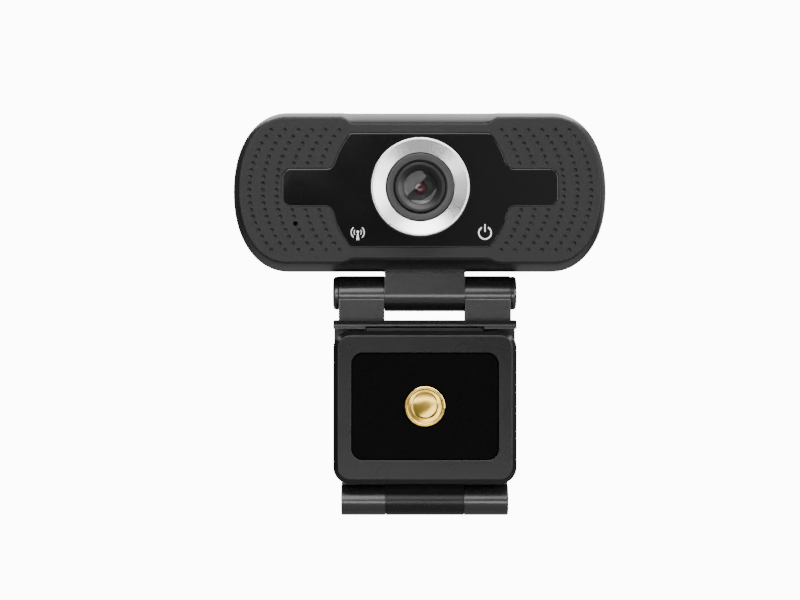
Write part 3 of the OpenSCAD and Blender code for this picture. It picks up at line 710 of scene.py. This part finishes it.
def panel_outline(grow=0.0):
    """The gloss panel's outline: a clipped circle with two arms, from the head's centre."""
    lens_rise = (LENS.z - HEAD.z) / MM
    width, height = (panel_hi.x - panel_lo.x) / MM, (panel_hi.z - panel_lo.z) / MM
    r, fillet, corner = PANEL_R + grow, 1.6 - grow, 1.7 + grow

    def quarter(edge):
        e = edge + grow
        fx = math.sqrt((r + fillet) ** 2 - (e + fillet) ** 2)
        a = math.degrees(math.atan2(e + fillet, fx))
        top = math.degrees(math.asin((height / 2 + grow) / r))
        end = arc_points(width / 2 + grow - corner, e - corner, corner, 0, 90, 8)
        bend = arc_points(fx, e + fillet, fillet, 270, 180 + a, 8)
        return end + bend + arc_points(0, 0, r, a, top, 12)[1:]

    upper, lower = quarter(PANEL_ARM + lens_rise), quarter(PANEL_ARM - lens_rise)
    return (upper + [(-x, z) for x, z in reversed(upper)]
            + [(-x, -z) for x, z in lower] + [(x, -z) for x, z in reversed(lower)])


# ---- Operators: the head ----


class WEBCAM_OT_housing(bpy.types.Operator):
    """Builds the rear housing with its wall, screw recesses and swivel boss"""

    bl_idname = "webcam.housing"
    bl_label = "Rear housing"

    def execute(self, context):
        inner_back = BACK - WALL
        back = [0.14, 0.28, 0.4] + [
            (1 - (1 - v) ** 2) ** (1 / 3)
            for v in (0.04, 0.07, 0.11, 0.16, 0.22, 0.3, 0.39, 0.5, 0.62, 0.75, 0.88, 1.0)]
        front = [0.12, 0.26, 0.42, 0.6, 0.8, 1.0]

        def share(y):
            return max(0.0, 1 - (y - SEAM) / (BELLY - SEAM))

        rings = []
        for u in (1, 0.9, 0.7, 0.4):
            y = BELLY + u * (inner_back - BELLY)
            rings.append(head_ring(y, shell_inset(y, inner_back) + WALL, 0))
        for u in (1, 0.6, 0.3, 0.02):
            y = SEAM + u * (BELLY - SEAM)
            rings.append(head_ring(y, shell_inset(y, BACK) + WALL, share(y)))
        rings.append(head_ring(SEAM, MOUTH_INSET + 0.25, 1))
        rings.append(head_ring(SEAM + 0.05, MOUTH_INSET + 0.08, 1))
        rings.append(head_ring(SEAM + 0.2, MOUTH_INSET - 0.03, 0.98))
        for u in front:
            y = SEAM + u * (BELLY - SEAM)
            rings.append(head_ring(y, shell_inset(y, BACK), share(y)))
        for u in back:
            y = BELLY + u * (BACK - BELLY)
            rings.append(head_ring(y, shell_inset(y, BACK), 0))
        shell = drawn_through("housing", rings)
        floor = shell_lo.z / MM
        foot = Vector((TILT.x, TILT.y, shell_lo.z))
        boss = turned("boss", [(4.4, 0.5), (4.4, 3)], foot, "+Z", 64)
        fuse(shell, boss)
        fuse(shell, self.seat(floor))
        collar = turned("collar", [(WASHER_R + 0.1, -1), (WASHER_R + 0.1, 0.55),
                                   (2.05, 0.55), (2.05, 6)],
                        foot, "+Z", 48)
        cut(shell, collar)
        for place in screw_places():
            drill(shell, 2.25, BACK - 5, BACK + 2, place)
        drill(shell, 2.92, BACK - 4, BACK + 2, GROMMET)
        hand_over(shell, "head", "shell", "shell", "rear_housing", angle=40)
        return {"FINISHED"}

    def seat(self, floor):
        """The flat seat over the neck: a disc with its front and back cut straight."""
        r, half = NECK_HALF + 0.5, 4.2
        reach = math.degrees(math.asin(half / r))
        outline = (arc_points(0, TILT_Y, r, -reach, reach, 24)
                   + arc_points(0, TILT_Y, r, 180 - reach, 180 + reach, 24))

        def ring(z, inset):
            return [MM * Vector((x, y, z)) for x, y in inset_outline(outline, inset)]
        return drawn_through("seat", [ring(floor + z, i) for z, i in (
            (0.02, 0.08), (0.1, 0), (WALL - 0.3, 0))])


class WEBCAM_OT_fascia(bpy.types.Operator):
    """Builds the dimpled front fascia with its pocket and holes"""

    bl_idname = "webcam.fascia"
    bl_label = "Front fascia"

    def execute(self, context):
        sizes = context.scene.webcam_sizes
        i = FASCIA_INSET
        plug = MOUTH_INSET + WALL + 0.1
        layers = [(2.3, plug), (SEAM, plug), (SEAM, i + 0.1), (SEAM - 0.1, i), (0.34, i),
                  (0.2, i + 0.03), (0.09, i + 0.1), (0.02, i + 0.22), (0, i + 0.36)]
        fascia = drawn_through("fascia", [head_ring(y, inset, 1) for y, inset in layers])
        pocket = drawn_through("pocket", [
            on_head(panel_outline(grow), y)
            for y, grow in ((1.2, 0.05), (0.08, 0.05), (0.0, 0.12), (-0.5, 0.12))])
        cut(fascia, pocket)
        drill(fascia, 7.0, -1, 4, LENS, steps=96)
        mic = HEAD + MM * Vector((MIC_X, 0, MIC_Z))
        cut(fascia, turned("mic", [(0.52, -0.5), (0.52, 0.02), (0.46, 0.08), (0.46, 4)],
                           mic, "+Y", 32))
        cut(fascia, self.dimples(sizes))
        hand_over(fascia, "head", "fascia", "fascia", "front_fascia", angle=28)
        return {"FINISHED"}

    def dimples(self, sizes):
        """One ball, copied to every dimple's place and joined."""
        clear_selection()
        r, depth = sizes.dimple_radius, sizes.dimple_depth
        ball_r = (r * r + depth * depth) / (2 * depth)
        bpy.ops.mesh.primitive_uv_sphere_add(
            segments=10, ring_count=10, radius=ball_r, location=(0, 0, 0),
            rotation=(math.pi / 2, 0, 0))
        ball = bpy.context.object
        bpy.ops.object.transform_apply(rotation=True)
        copies = []
        half = (sizes.dimple_rows - 1) / 2
        # Radius of a column's curve, and the outermost column's place on the centre line
        bend, outer = 18.2 * MM, 33.6 * MM
        for side in (-1, 1):
            for column in range(sizes.dimple_columns):
                for row in range(sizes.dimple_rows):
                    z = (row - half) * sizes.dimple_pitch
                    x = outer - column * sizes.column_pitch - (
                        bend - math.sqrt(bend * bend - z * z))
                    if self.on_panel(x / MM, z / MM, side) or self.off_edge(x / MM, z / MM):
                        continue
                    copy = ball.copy()
                    copy.data = ball.data.copy()
                    copy.data.transform(Matrix.Translation(
                        HEAD + Vector((side * x, depth - ball_r, z))))
                    bpy.context.scene.collection.objects.link(copy)
                    copies.append(copy)
        bpy.data.objects.remove(ball)
        return join(*copies)

    def on_panel(self, x, z, side):
        """Whether a dimple would touch the panel or the microphone's hole."""
        margin = 0.62
        arm = x < 27.1 + margin and -3.15 - margin < z < 4.15 + margin
        middle = math.hypot(x, z) < PANEL_R + margin
        mic = side < 0 and math.hypot(x + MIC_X, z - MIC_Z) < 1.1
        return arm or middle or mic

    def off_edge(self, x, z):
        """Whether a dimple would come too near the fascia's rim."""
        rim = 2.6
        a = max(0.0, (x - (HEAD_W / 2 - END_LENGTH))) / (END_LENGTH - rim)
        b = abs(z) / (HEAD_H / 2 - rim)
        return a ** END_POWER + b ** END_POWER > 1


class WEBCAM_OT_panel(bpy.types.Operator):
    """Builds the gloss panel round the lens"""

    bl_idname = "webcam.panel"
    bl_label = "Gloss panel"

    def execute(self, context):
        layers = [(1.18, -0.02), (0.26, 0.0), (0.17, -0.02), (0.11, -0.08), (0.1, -0.16)]
        panel = drawn_through(
            "gloss_panel", [on_head(panel_outline(grow), y) for y, grow in layers])
        drill(panel, RING_R + 0.05, -1, 3, LENS, steps=128)
        hand_over(panel, "head", "panel", "panel", "glossy_panel", angle=40)
        return {"FINISHED"}


class WEBCAM_OT_lens(bpy.types.Operator):
    """Turns the silver ring, the barrel, the lens cell and the front glass"""

    bl_idname = "webcam.lens"
    bl_label = "Lens"

    def execute(self, context):
        ring = turned("silver_ring", [
            (6.75, -1.2), (6.75, 2.06), (6.79, 2.12), (6.87, 2.15), (8.1, 2.66), (9.2, 3.1),
            (9.32, 3.15), (9.44, 3.16), (9.55, 3.12), (9.63, 3.02), (RING_R, 2.85),
            (RING_R, -1.2)], LENS, steps=160, solid=False)
        hand_over(ring, "head", "silver", "silver", "lens_trim_ring")
        barrel = turned("barrel", [
            (4.0, -8.4), (4.1, -8.5), (5.9, -8.5), (6.0, -8.4), (6.0, -2.4), (6.6, -2.4),
            (6.6, 1.95), (6.56, 2.04), (6.48, 2.09), (6.35, 2.1), (5.45, 2.1), (5.36, 2.07),
            (5.31, 2.0), (5.3, 1.9), (5.3, 1.35), (5.22, 1.28), (5.14, 1.28), (5.05, 1.2),
            (5.05, -0.5), (4.0, -0.5)], LENS, steps=128, solid=False)
        hand_over(barrel, "head", "barrel", "barrel", "lens_barrel")
        cell = turned("lens_cell_ring", [
            (3.3, 0.4), (3.3, 0.98), (3.34, 1.04), (3.42, 1.1), (4.25, 1.66), (4.38, 1.72),
            (4.5, 1.74), (4.75, 1.7), (4.9, 1.63), (4.97, 1.52), (5.0, 1.4), (5.0, -0.46),
            (3.96, -0.46), (3.96, 0.38)], LENS, steps=128, solid=False)
        # The cell's finish carries painted shade: the barrel's plastic made darker.
        hand_over(cell, "head", "cell", "barrel", "lens_cell")
        dome_r, edge, edge_y = 16.0, 3.26, 0.7
        rise = math.sqrt(dome_r ** 2 - edge ** 2)
        dome = [(3.88, -0.45), (3.88, 0.3), (3.3, 0.34), (edge, edge_y)]
        for k in range(1, 13):
            a = math.asin(edge / dome_r) * (1 - k / 12)
            dome.append((dome_r * math.sin(a), edge_y - rise + dome_r * math.cos(a)))
        glass = turned("front_glass", dome, LENS, steps=96)
        hand_over(glass, "head", "glass", "glass", "front_lens", angle=20)
        iris = turned("iris_cone", [
            (3.9, -1.6), (3.9, -0.62), (3.8, -0.6), (3.2, -0.9), (3.15, -0.86), (2.5, -1.15),
            (2.44, -1.1), (1.7, -1.35), (1.3, -1.42), (1.2, -1.5), (1.25, -1.6)],
            LENS, steps=96, solid=False)
        # The iris cone's finish carries painted shade: the barrel's plastic made darker.
        hand_over(iris, "head", "iris", "barrel", "aperture_disc")
        return {"FINISHED"}


class WEBCAM_OT_back_fittings(bpy.types.Operator):
    """Builds the cable grommet and the two cross-head case screws"""

    bl_idname = "webcam.back_fittings"
    bl_label = "Back fittings"

    def execute(self, context):
        b = BACK
        grommet = turned("grommet", [
            (1.9, b - 2.4), (3.4, b - 2.4), (3.5, b - 2.3), (3.5, b - 1.62), (2.9, b - 1.62),
            (2.9, b + 0.02), (3.7, b + 0.02), (3.8, b + 0.12), (3.78, b + 0.34),
            (3.66, b + 0.52), (3.4, b + 0.62), (3.1, b + 0.62), (3.0, b + 0.5),
            (2.85, b + 0.5), (2.75, b + 0.62), (2.6, b + 0.76), (2.4, b + 0.8),
            (2.1, b + 0.8), (1.95, b + 0.74), (1.9, b + 0.6)], GROMMET, "+Y", 80, solid=False)
        hand_over(grommet, "head", "rubber", "rubber", "cable_grommet")
        screws = []
        for place in screw_places():
            screw = turned("case_screws_pair", [
                (0.3, b - 13), (0.9, b - 12.4), (0.9, b - 5), (2.0, b - 5), (2.0, b - 4.2),
                (1.9, b - 3.95), (1.6, b - 3.75), (1.1, b - 3.62), (0.4, b - 3.6)],
                place, "+Y", 48)
            for w, h in ((0.34, 1.9), (1.9, 0.34)):
                clear_selection()
                head = place + MM * Vector((0, b - 3.6, 0))
                bpy.ops.mesh.primitive_cube_add(size=1, location=head)
                bpy.context.object.scale = MM * Vector((w, 1.3, h))
                bpy.ops.object.transform_apply(scale=True)
                cut(screw, bpy.context.object)
            screws.append(screw)
        hand_over(join(*screws), "head", "black screw", "black_screw", "case_screws")
        return {"FINISHED"}


# ---- Operators: neck, arm and leg ----


def keyhole(cy, cz, r, y0, y1, end, lean=0.0):
    """Side view of a knuckle whose web, from y0 to y1, runs up or down to height end."""
    low = math.degrees(math.acos(max(-1.0, min(1.0, (y1 - cy) / r))))
    high = math.degrees(math.acos(max(-1.0, min(1.0, (y0 - cy) / r)))) - 360
    up = 1 if end > cz else -1
    points = [(cy + y, cz + up * z) for y, z in arc_points(0, 0, r, low, high, 40)]
    return points + [(y0 + lean, end), (y1, end)]


def rounded(points, radius, steps=3):
    """The outline with each corner replaced by an arc of radius."""
    result = []
    n = len(points)
    for k in range(n):
        p = Vector(points[k])
        a, b = (Vector(points[k - 1]) - p), (Vector(points[(k + 1) % n]) - p)
        half = a.angle(b) / 2
        reach = min(radius / math.tan(half), a.length * 0.45, b.length * 0.45)
        r = reach * math.tan(half)
        centre = p + (a.normalized() + b.normalized()).normalized() * (r / math.sin(half))
        start, stop = p + a.normalized() * reach - centre, p + b.normalized() * reach - centre
        turn = start.angle_signed(stop)
        for j in range(steps + 1):
            t = -turn * j / steps
            result.append(centre + Vector((
                start.x * math.cos(t) - start.y * math.sin(t),
                start.x * math.sin(t) + start.y * math.cos(t))))
    return result


def plate(name, layers, w, h, r, cx=0.0, cz=0.0):
    """A round-cornered plate: each layer is (depth, how far it is drawn in), in mm."""
    return stack(name, [(y, round_rect(w - 2 * i, h - 2 * i, max(0.05, r - i), cx, cz))
                        for y, i in layers])


def bar(name, lo, hi, round_mm=0.0):
    """A rectangular bar between two corners in mm, with its long edges rounded."""
    profile = [(lo[1], lo[2]), (hi[1], lo[2]), (hi[1], hi[2]), (lo[1], hi[2])]
    if round_mm:
        profile = rounded(profile, round_mm)
    return across(name, profile, lo[0], hi[0], max(round_mm, 0.001))


def pin_hole(piece, y, z, r, x0=-THROUGH, x1=THROUGH):
    """Drills a round hole along X."""
    return drill(piece, r, x0, x1, MM * Vector((0, y, z)), "+X")


class WEBCAM_OT_neck(bpy.types.Operator):
    """Builds the neck: a knuckle, a short block and the post that the head turns on"""

    bl_idname = "webcam.neck"
    bl_label = "Neck"

    def execute(self, context):
        top = shell_lo.z / MM - 0.05
        r = TILT_Y - neck_lo.y / MM
        neck = across("neck", keyhole(TILT_Y, TILT_Z, r, TILT_Y - r, TILT_Y + r, top),
                      -NECK_HALF, NECK_HALF, JOINT_ROUND)
        post = turned("post", [(2.0, TILT_Z + 1), (2.0, neck_hi.z / MM - 0.15),
                               (1.85, neck_hi.z / MM)], Vector((0, TILT.y, 0)), "+Z", 64)
        fuse(neck, post)
        pin_hole(neck, TILT_Y, TILT_Z, 2.32)
        drill(neck, 0.92, TILT_Z + 2.9, 40, Vector((0, TILT.y, 0)), "+Z", 32)
        hand_over(neck, "neck", "clip", "clip", "neck_block")
        return {"FINISHED"}


class WEBCAM_OT_arm(bpy.types.Operator):
    """Builds the clip's arm with its lip, webs and knuckles, and the caps on the tilt pin"""

    bl_idname = "webcam.arm"
    bl_label = "Clip arm"

    def execute(self, context):
        half = (arm_hi.x - arm_lo.x) / 2 / MM
        back, front = 9.8, 6.8
        lip_z, lip_top, bottom = 15.5, 17.2, -15.4
        corner, web_end, fold_end = 3.4, 17.4, 16.9

        def outline(inset):
            h = half - inset
            r = corner - inset
            points = arc_points(-h + r, bottom + corner, r, 180, 270, 10)
            points += arc_points(h - r, bottom + corner, r, 270, 360, 10)
            return points + [(h, lip_top - inset), (-h, lip_top - inset)]

        arm = stack("arm", [(back, outline(0.3)), (back - 0.08, outline(0.1)),
                            (back - 0.3, outline(0)), (front + 0.15, outline(0)),
                            (front, outline(0.12))])
        lip = rounded([(0.8, lip_z), (front + 0.6, lip_z), (front + 0.6, lip_top),
                       (1.7, lip_top), (0.8, lip_top - 0.9)], 0.14, 2)
        fuse(arm, across("lip", lip, -half, half, 0.18))
        for side in (-1, 1):
            fuse(arm, web("web", keyhole(
                TILT_Y, TILT_Z, 3.5, TILT_Y - 3.2, back, lip_top - 0.4, 0.1),
                NECK_HALF + KNUCKLE_GAP, web_end, side))
            fuse(arm, web("fold_web", keyhole(
                FOLD_Y, FOLD_Z, FOLD_R, front, 9.499, bottom + corner),
                LEG_KNUCKLE + KNUCKLE_GAP, fold_end, side))
            for y, z, r, x in ((TILT_Y, TILT_Z, 3.3, NECK_HALF),
                               (FOLD_Y, FOLD_Z, 2.9, LEG_KNUCKLE)):
                fuse(arm, turned("boss", [(r, x + BOSS_GAP), (r, x + 0.5)],
                                 MM * Vector((0, y, z)), "+X" if side > 0 else "-X", 48))
            x0, x1 = sorted((side * (LEG_KNUCKLE + BOSS_GAP), side * (LEG_KNUCKLE + 0.5)))
            fuse(arm, bar("shoulder", (x0, 7.1, FOLD_Z + 2.3), (x1, 9.4, bottom + 1)))
        cut(arm, bar("notch", (-11.9, -0.3, 14.4), (11.9, front, 16.05)))
        cut(arm, plate("recess", [(front - 1, 0), (front + 0.5, 0)], *PAD_RECESS))
        pin_hole(arm, TILT_Y, TILT_Z, TILT_PIN_R)
        pin_hole(arm, FOLD_Y, FOLD_Z, FOLD_PIN_R)
        for side in (-1, 1):
            x0, x1 = sorted((side * fold_end, side * (web_end + 1)))
            pin_hole(arm, TILT_Y, TILT_Z, 1.92, x0, x1)
        hand_over(arm, "arm", "clip", "clip", "clip_arm")
        caps = []
        for side, axis in ((-1, "-X"), (1, "+X")):
            caps.append(turned("tilt_caps_pair", [
                (1.88, 16.94), (1.88, 17.4), (3.3, 17.42), (3.38, 17.5), (3.38, 18.0),
                (3.34, 18.18), (3.22, 18.36), (3.02, 18.49), (2.75, 18.55), (1.5, 18.55),
                (1.38, 18.52), (1.3, 18.44), (1.1, 18.38), (0.3, 18.36)],
                Vector((0, TILT.y, TILT.z)), axis, 80))
        hand_over(join(*caps), "arm", "clip", "clip", "tilt_caps")
        return {"FINISHED"}


class WEBCAM_OT_leg(bpy.types.Operator):
    """Builds the clip's leg: a chamfered frame with a finger tab and the fold knuckle"""

    bl_idname = "webcam.leg"
    bl_label = "Clip leg"

    def execute(self, context):
        w, h, mid, depth = (leg_hi.x - leg_lo.x) / MM, 30.7, -0.25, 6.2
        leg = plate("leg", [
            (depth, 0.3), (depth - 0.08, 0.1), (depth - 0.3, 0), (1.12, 0), (0.98, 0.03),
            (0.86, 0.12), (0.12, 0.86), (0.03, 0.98), (0, 1.12)], w, h, 3.4, 0, mid)
        fuse(leg, bar("tab", (-11.7, 1.2, 13), (11.7, 5.2, 15.8), 0.22))
        fuse(leg, across("knuckle", keyhole(
            FOLD_Y, FOLD_Z, FOLD_R, 4.0, depth, -14.6, 1.2),
            -LEG_KNUCKLE, LEG_KNUCKLE, JOINT_ROUND))
        cut(leg, plate("pocket", [(-0.6, -0.16), (0.0, -0.16), (0.05, -0.06), (0.14, 0),
                                  (1.5, 0)], *FOOT_POCKET))
        cut(leg, plate("back_recess", [(depth - 0.5, 0), (depth + 1, 0)], *PAD_RECESS))
        drill(leg, 4.14, 0.5, 5.12, ORIGIN, steps=96)
        pin_hole(leg, FOLD_Y, FOLD_Z, 1.97)
        # The leg's finish carries painted shade: the clip's plastic at half its colour.
        hand_over(leg, "leg", "leg", "clip", "leg_frame")
        return {"FINISHED"}


class WEBCAM_OT_insert(bpy.types.Operator):
    """Turns the brass tripod insert with its chamfered mouth and thread"""

    bl_idname = "webcam.insert"
    bl_label = "Tripod insert"

    def execute(self, context):
        pitch = 1.27
        outline = [(4.12, -5.1), (4.12, -0.42), (4.09, -0.25), (4.0, -0.1), (3.87, -0.02),
                   (3.72, 0), (3.57, -0.02), (3.44, -0.1), (3.35, -0.22), (3.3, -0.36),
                   (3.1, -0.4), (2.7, -0.44), (2.58, -0.5)]
        for turn_number in range(3):
            y = 0.5 + pitch * turn_number
            outline += [(2.56, -y), (2.57, -y - 0.16), (3.02, -y - 0.58),
                        (3.02, -y - 0.7), (2.57, -y - 1.12)]
        outline += [(2.56, -4.32), (2.5, -4.44), (2.36, -4.5), (0.5, -4.56)]
        insert = turned("brass_insert", outline, ORIGIN, steps=128)
        hand_over(insert, "leg", "brass", "brass", "tripod_insert", angle=24)
        return {"FINISHED"}


class WEBCAM_OT_rubbers(bpy.types.Operator):
    """Builds the rubber foot and the two ribbed grip pads"""

    bl_idname = "webcam.rubbers"
    bl_label = "Rubber foot and grips"

    def execute(self, context):
        sizes = context.scene.webcam_sizes
        foot = plate("foot", [(1.5, 0), (0.52, 0), (0.42, 0.03), (0.34, 0.11), (0.3, 0.24)],
                     *FOOT)
        cut(foot, turned("hole", [(4.3, -1), (4.3, 0.34), (4.16, 0.5), (4.16, 3)],
                         ORIGIN, "+Y", 96))
        hand_over(foot, "leg", "rubber", "rubber", "rubber_foot")
        for name, node, body, face, inward in (
                ("arm_grip", "arm_grip_pad", "arm", 6.6, 1),
                ("leg_grip", "leg_grip_pad", "leg", 6.4, -1)):
            pad = plate(name, [(face + inward * y, i) for y, i in (
                (0.7, 0), (0.1, 0), (0.03, 0.04), (0, 0.12))], *PAD)
            step, ribbed, half_w, half_h = sizes.grip_rib / MM, 15.5, 11.6, 0.3
            count = int(ribbed / step)
            y0, y1 = sorted((face - inward * 0.3, face + inward * 0.24))
            heights = [(k - (count - 1) / 2) * step for k in range(count)]
            grooves = [bar("groove", (-half_w, y0, z - half_h), (half_w, y1, z + half_h))
                       for z in heights]
            cut(pad, join(*grooves))
            hand_over(pad, body, "rubber", "rubber", node)
        return {"FINISHED"}


class WEBCAM_OT_frame_finishes(bpy.types.Operator):
    """Gives the fixed frame's own solids their finishes"""

    bl_idname = "webcam.frame_finishes"
    bl_label = "Finishes of the frame"

    def execute(self, context):
        finishes = {
            "steel": ("board_screws", "swivel_retainer", "swivel_screw",
                      "tilt_friction_sleeve", "fold_friction_sleeve", "tilt_pin", "fold_pin"),
            "mark": ("signal_symbol", "power_symbol"), "washer": ("swivel_washer",),
            "inner glass": ("inner_lens",), "filter": ("ir_cut_filter",),
            "inner plastic": ("lens_holder", "mic_capsule"), "sensor": ("image_sensor",),
            "board": ("main_board",), "chip": ("video_processor", "board_parts"),
            "ivory": ("cable_connector",), "lamp": ("status_leds",),
            "clear": ("light_guides",), "rubber": ("mic_boot",)}
        for finish, names in finishes.items():
            for name in names:
                node = frame["nodes"][name]
                node.data.materials.clear()
                node.data.materials.append(finish_of(finish))
        return {"FINISHED"}


# ---- Operators: the studio ----

# Brightness of the white that is seen behind the object
WHITE = 12
# Name, degrees right of the front, degrees up, distance, width and height, glow, turn
LAMPS = (
    ("key_box", 14, 60, 0.65, (0.8, 0.36), 13),
    ("right_box", 56, 10, 0.6, (0.3, 0.42), 11),
    ("left_box", -52, 4, 0.6, (0.2, 0.3), 1.5),
    ("upper_left_box", -88, 46, 0.55, (0.24, 0.24), 11),
    ("upper_right_box", 88, 46, 0.55, (0.24, 0.24), 11),
    ("back_box", 180, 34, 0.7, (0.5, 0.4), 2.2),
    ("sail", -14.9, 14, 1.6, (1.3, 0.734), 6, 45),
    ("front_strip", 0, -18, 0.53, (0.9, 0.1), 9),
)
FLOOR_Z, FOCAL_LENGTH, CAMERA_AT = -0.17, 84.4, (-0.005, -0.375, 0.0213)


class WEBCAM_OT_studio(bpy.types.Operator):
    """Sets up the pale floor, the soft lights and the camera"""

    bl_idname = "webcam.studio"
    bl_label = "Studio"

    def execute(self, context):
        clear_selection()
        bpy.ops.mesh.primitive_plane_add(size=6, location=(0, 0, FLOOR_Z))
        floor = bpy.context.object
        floor.name = "studio_floor"
        material, tree, shader, place = start_material("studio floor")
        texture = group_node(tree, "moulded grain", place, grain_size=0.01, patchiness=0.3)
        tint(shader, (0.15, 0.15, 0.15), (0.18, 0.18, 0.18), texture.outputs["Shade"])
        shader.inputs["Roughness"].default_value = 0.8
        self.seen_white(tree, shader.outputs[0], tree.nodes["Material Output"])
        floor.data.materials.append(material)
        for row in LAMPS:
            self.lamp(*row)
        world = bpy.data.worlds.new("studio air")
        context.scene.world = world
        world.use_nodes = True
        air = world.node_tree
        fill = air.nodes["Background"]
        way = air.nodes.new("ShaderNodeTexCoord")
        split = air.nodes.new("ShaderNodeSeparateXYZ")
        wire(way.outputs["Generated"], split.inputs[0])
        rise = air.nodes.new("ShaderNodeMapRange")
        rise.interpolation_type = "SMOOTHSTEP"
        for label, value in (("From Min", -0.12), ("From Max", 0.14), ("To Min", 0.06),
                             ("To Max", 0.34)):
            rise.inputs[label].default_value = value
        wire(split.outputs["X"], rise.inputs["Value"])
        wire(rise.outputs[0], fill.inputs["Strength"])
        fill.inputs["Color"].default_value = (1, 1, 1, 1)
        self.seen_white(air, fill.outputs[0], air.nodes["World Output"])
        bpy.ops.object.camera_add(location=CAMERA_AT, rotation=(math.pi / 2, 0, 0))
        camera = bpy.context.object
        camera.name = "front_camera"
        camera.data.sensor_width = 36
        camera.data.lens = FOCAL_LENGTH
        camera.data.clip_start = 0.01
        context.scene.camera = camera
        clear_selection()
        return {"FINISHED"}

    def seen_white(self, tree, shown, end):
        """White where it is seen directly, and what it was for every other ray."""
        path = tree.nodes.new("ShaderNodeLightPath")
        white = tree.nodes.new("ShaderNodeEmission")
        white.inputs["Color"].default_value = (1, 1, 1, 1)
        white.inputs["Strength"].default_value = WHITE
        mix = tree.nodes.new("ShaderNodeMixShader")
        wire(path.outputs["Is Camera Ray"], mix.inputs[0])
        wire(shown, mix.inputs[1])
        wire(white.outputs[0], mix.inputs[2])
        wire(mix.outputs[0], end.inputs["Surface"])

    def lamp(self, name, azimuth, height, reach, size, glow, turn=0):
        """A soft panel light facing the head: degrees right of the front and up, metres."""
        a, e = math.radians(azimuth), math.radians(height)
        aim = Vector((math.sin(a) * math.cos(e), -math.cos(a) * math.cos(e), math.sin(e)))
        bpy.ops.object.light_add(type="AREA", location=Vector((0, 0, 0.02)) + reach * aim)
        lamp = bpy.context.object
        lamp.name = name
        lamp.data.shape = "RECTANGLE"
        lamp.data.size, lamp.data.size_y = size
        lamp.data.energy = glow * math.pi * size[0] * size[1]
        lamp.visible_camera = False
        lamp.rotation_euler = (aim.to_track_quat("Z", "Y")
                               @ Euler((0, 0, math.radians(turn))).to_quaternion()).to_euler()


# ---- Panel and registration ----

PIECES = (
    WEBCAM_OT_studio, WEBCAM_OT_housing, WEBCAM_OT_fascia, WEBCAM_OT_panel, WEBCAM_OT_lens,
    WEBCAM_OT_back_fittings, WEBCAM_OT_neck, WEBCAM_OT_arm, WEBCAM_OT_leg, WEBCAM_OT_insert,
    WEBCAM_OT_rubbers, WEBCAM_OT_frame_finishes,
)


class WEBCAM_PT_panel(bpy.types.Panel):
    """Lists the webcam's pieces, sizes and colours"""

    bl_label = "Webcam"
    bl_idname = "WEBCAM_PT_panel"
    bl_space_type = "VIEW_3D"
    bl_region_type = "UI"
    bl_category = "Webcam"

    def draw(self, context):
        for piece in PIECES:
            self.layout.operator(piece.bl_idname)
        for group in (context.scene.webcam_sizes, context.scene.webcam_colours):
            box = self.layout.box()
            for name in group.__annotations__:
                box.prop(group, name)


CLASSES = (WebcamSizes, WebcamColours, *PIECES, WEBCAM_PT_panel)


def register():
    for cls in CLASSES:
        bpy.utils.register_class(cls)
    bpy.types.Scene.webcam_sizes = PointerProperty(type=WebcamSizes)
    bpy.types.Scene.webcam_colours = PointerProperty(type=WebcamColours)


def unregister():
    del bpy.types.Scene.webcam_colours
    del bpy.types.Scene.webcam_sizes
    for cls in reversed(CLASSES):
        bpy.utils.unregister_class(cls)


def main():
    register()
    clear_selection()
    bpy.ops.webcam.studio()
    bpy.ops.webcam.housing()
    bpy.ops.webcam.fascia()
    bpy.ops.webcam.panel()
    bpy.ops.webcam.lens()
    bpy.ops.webcam.back_fittings()
    bpy.ops.webcam.neck()
    bpy.ops.webcam.arm()
    bpy.ops.webcam.leg()
    bpy.ops.webcam.insert()
    bpy.ops.webcam.rubbers()
    bpy.ops.webcam.frame_finishes()


if __name__ == "__main__":
    main()
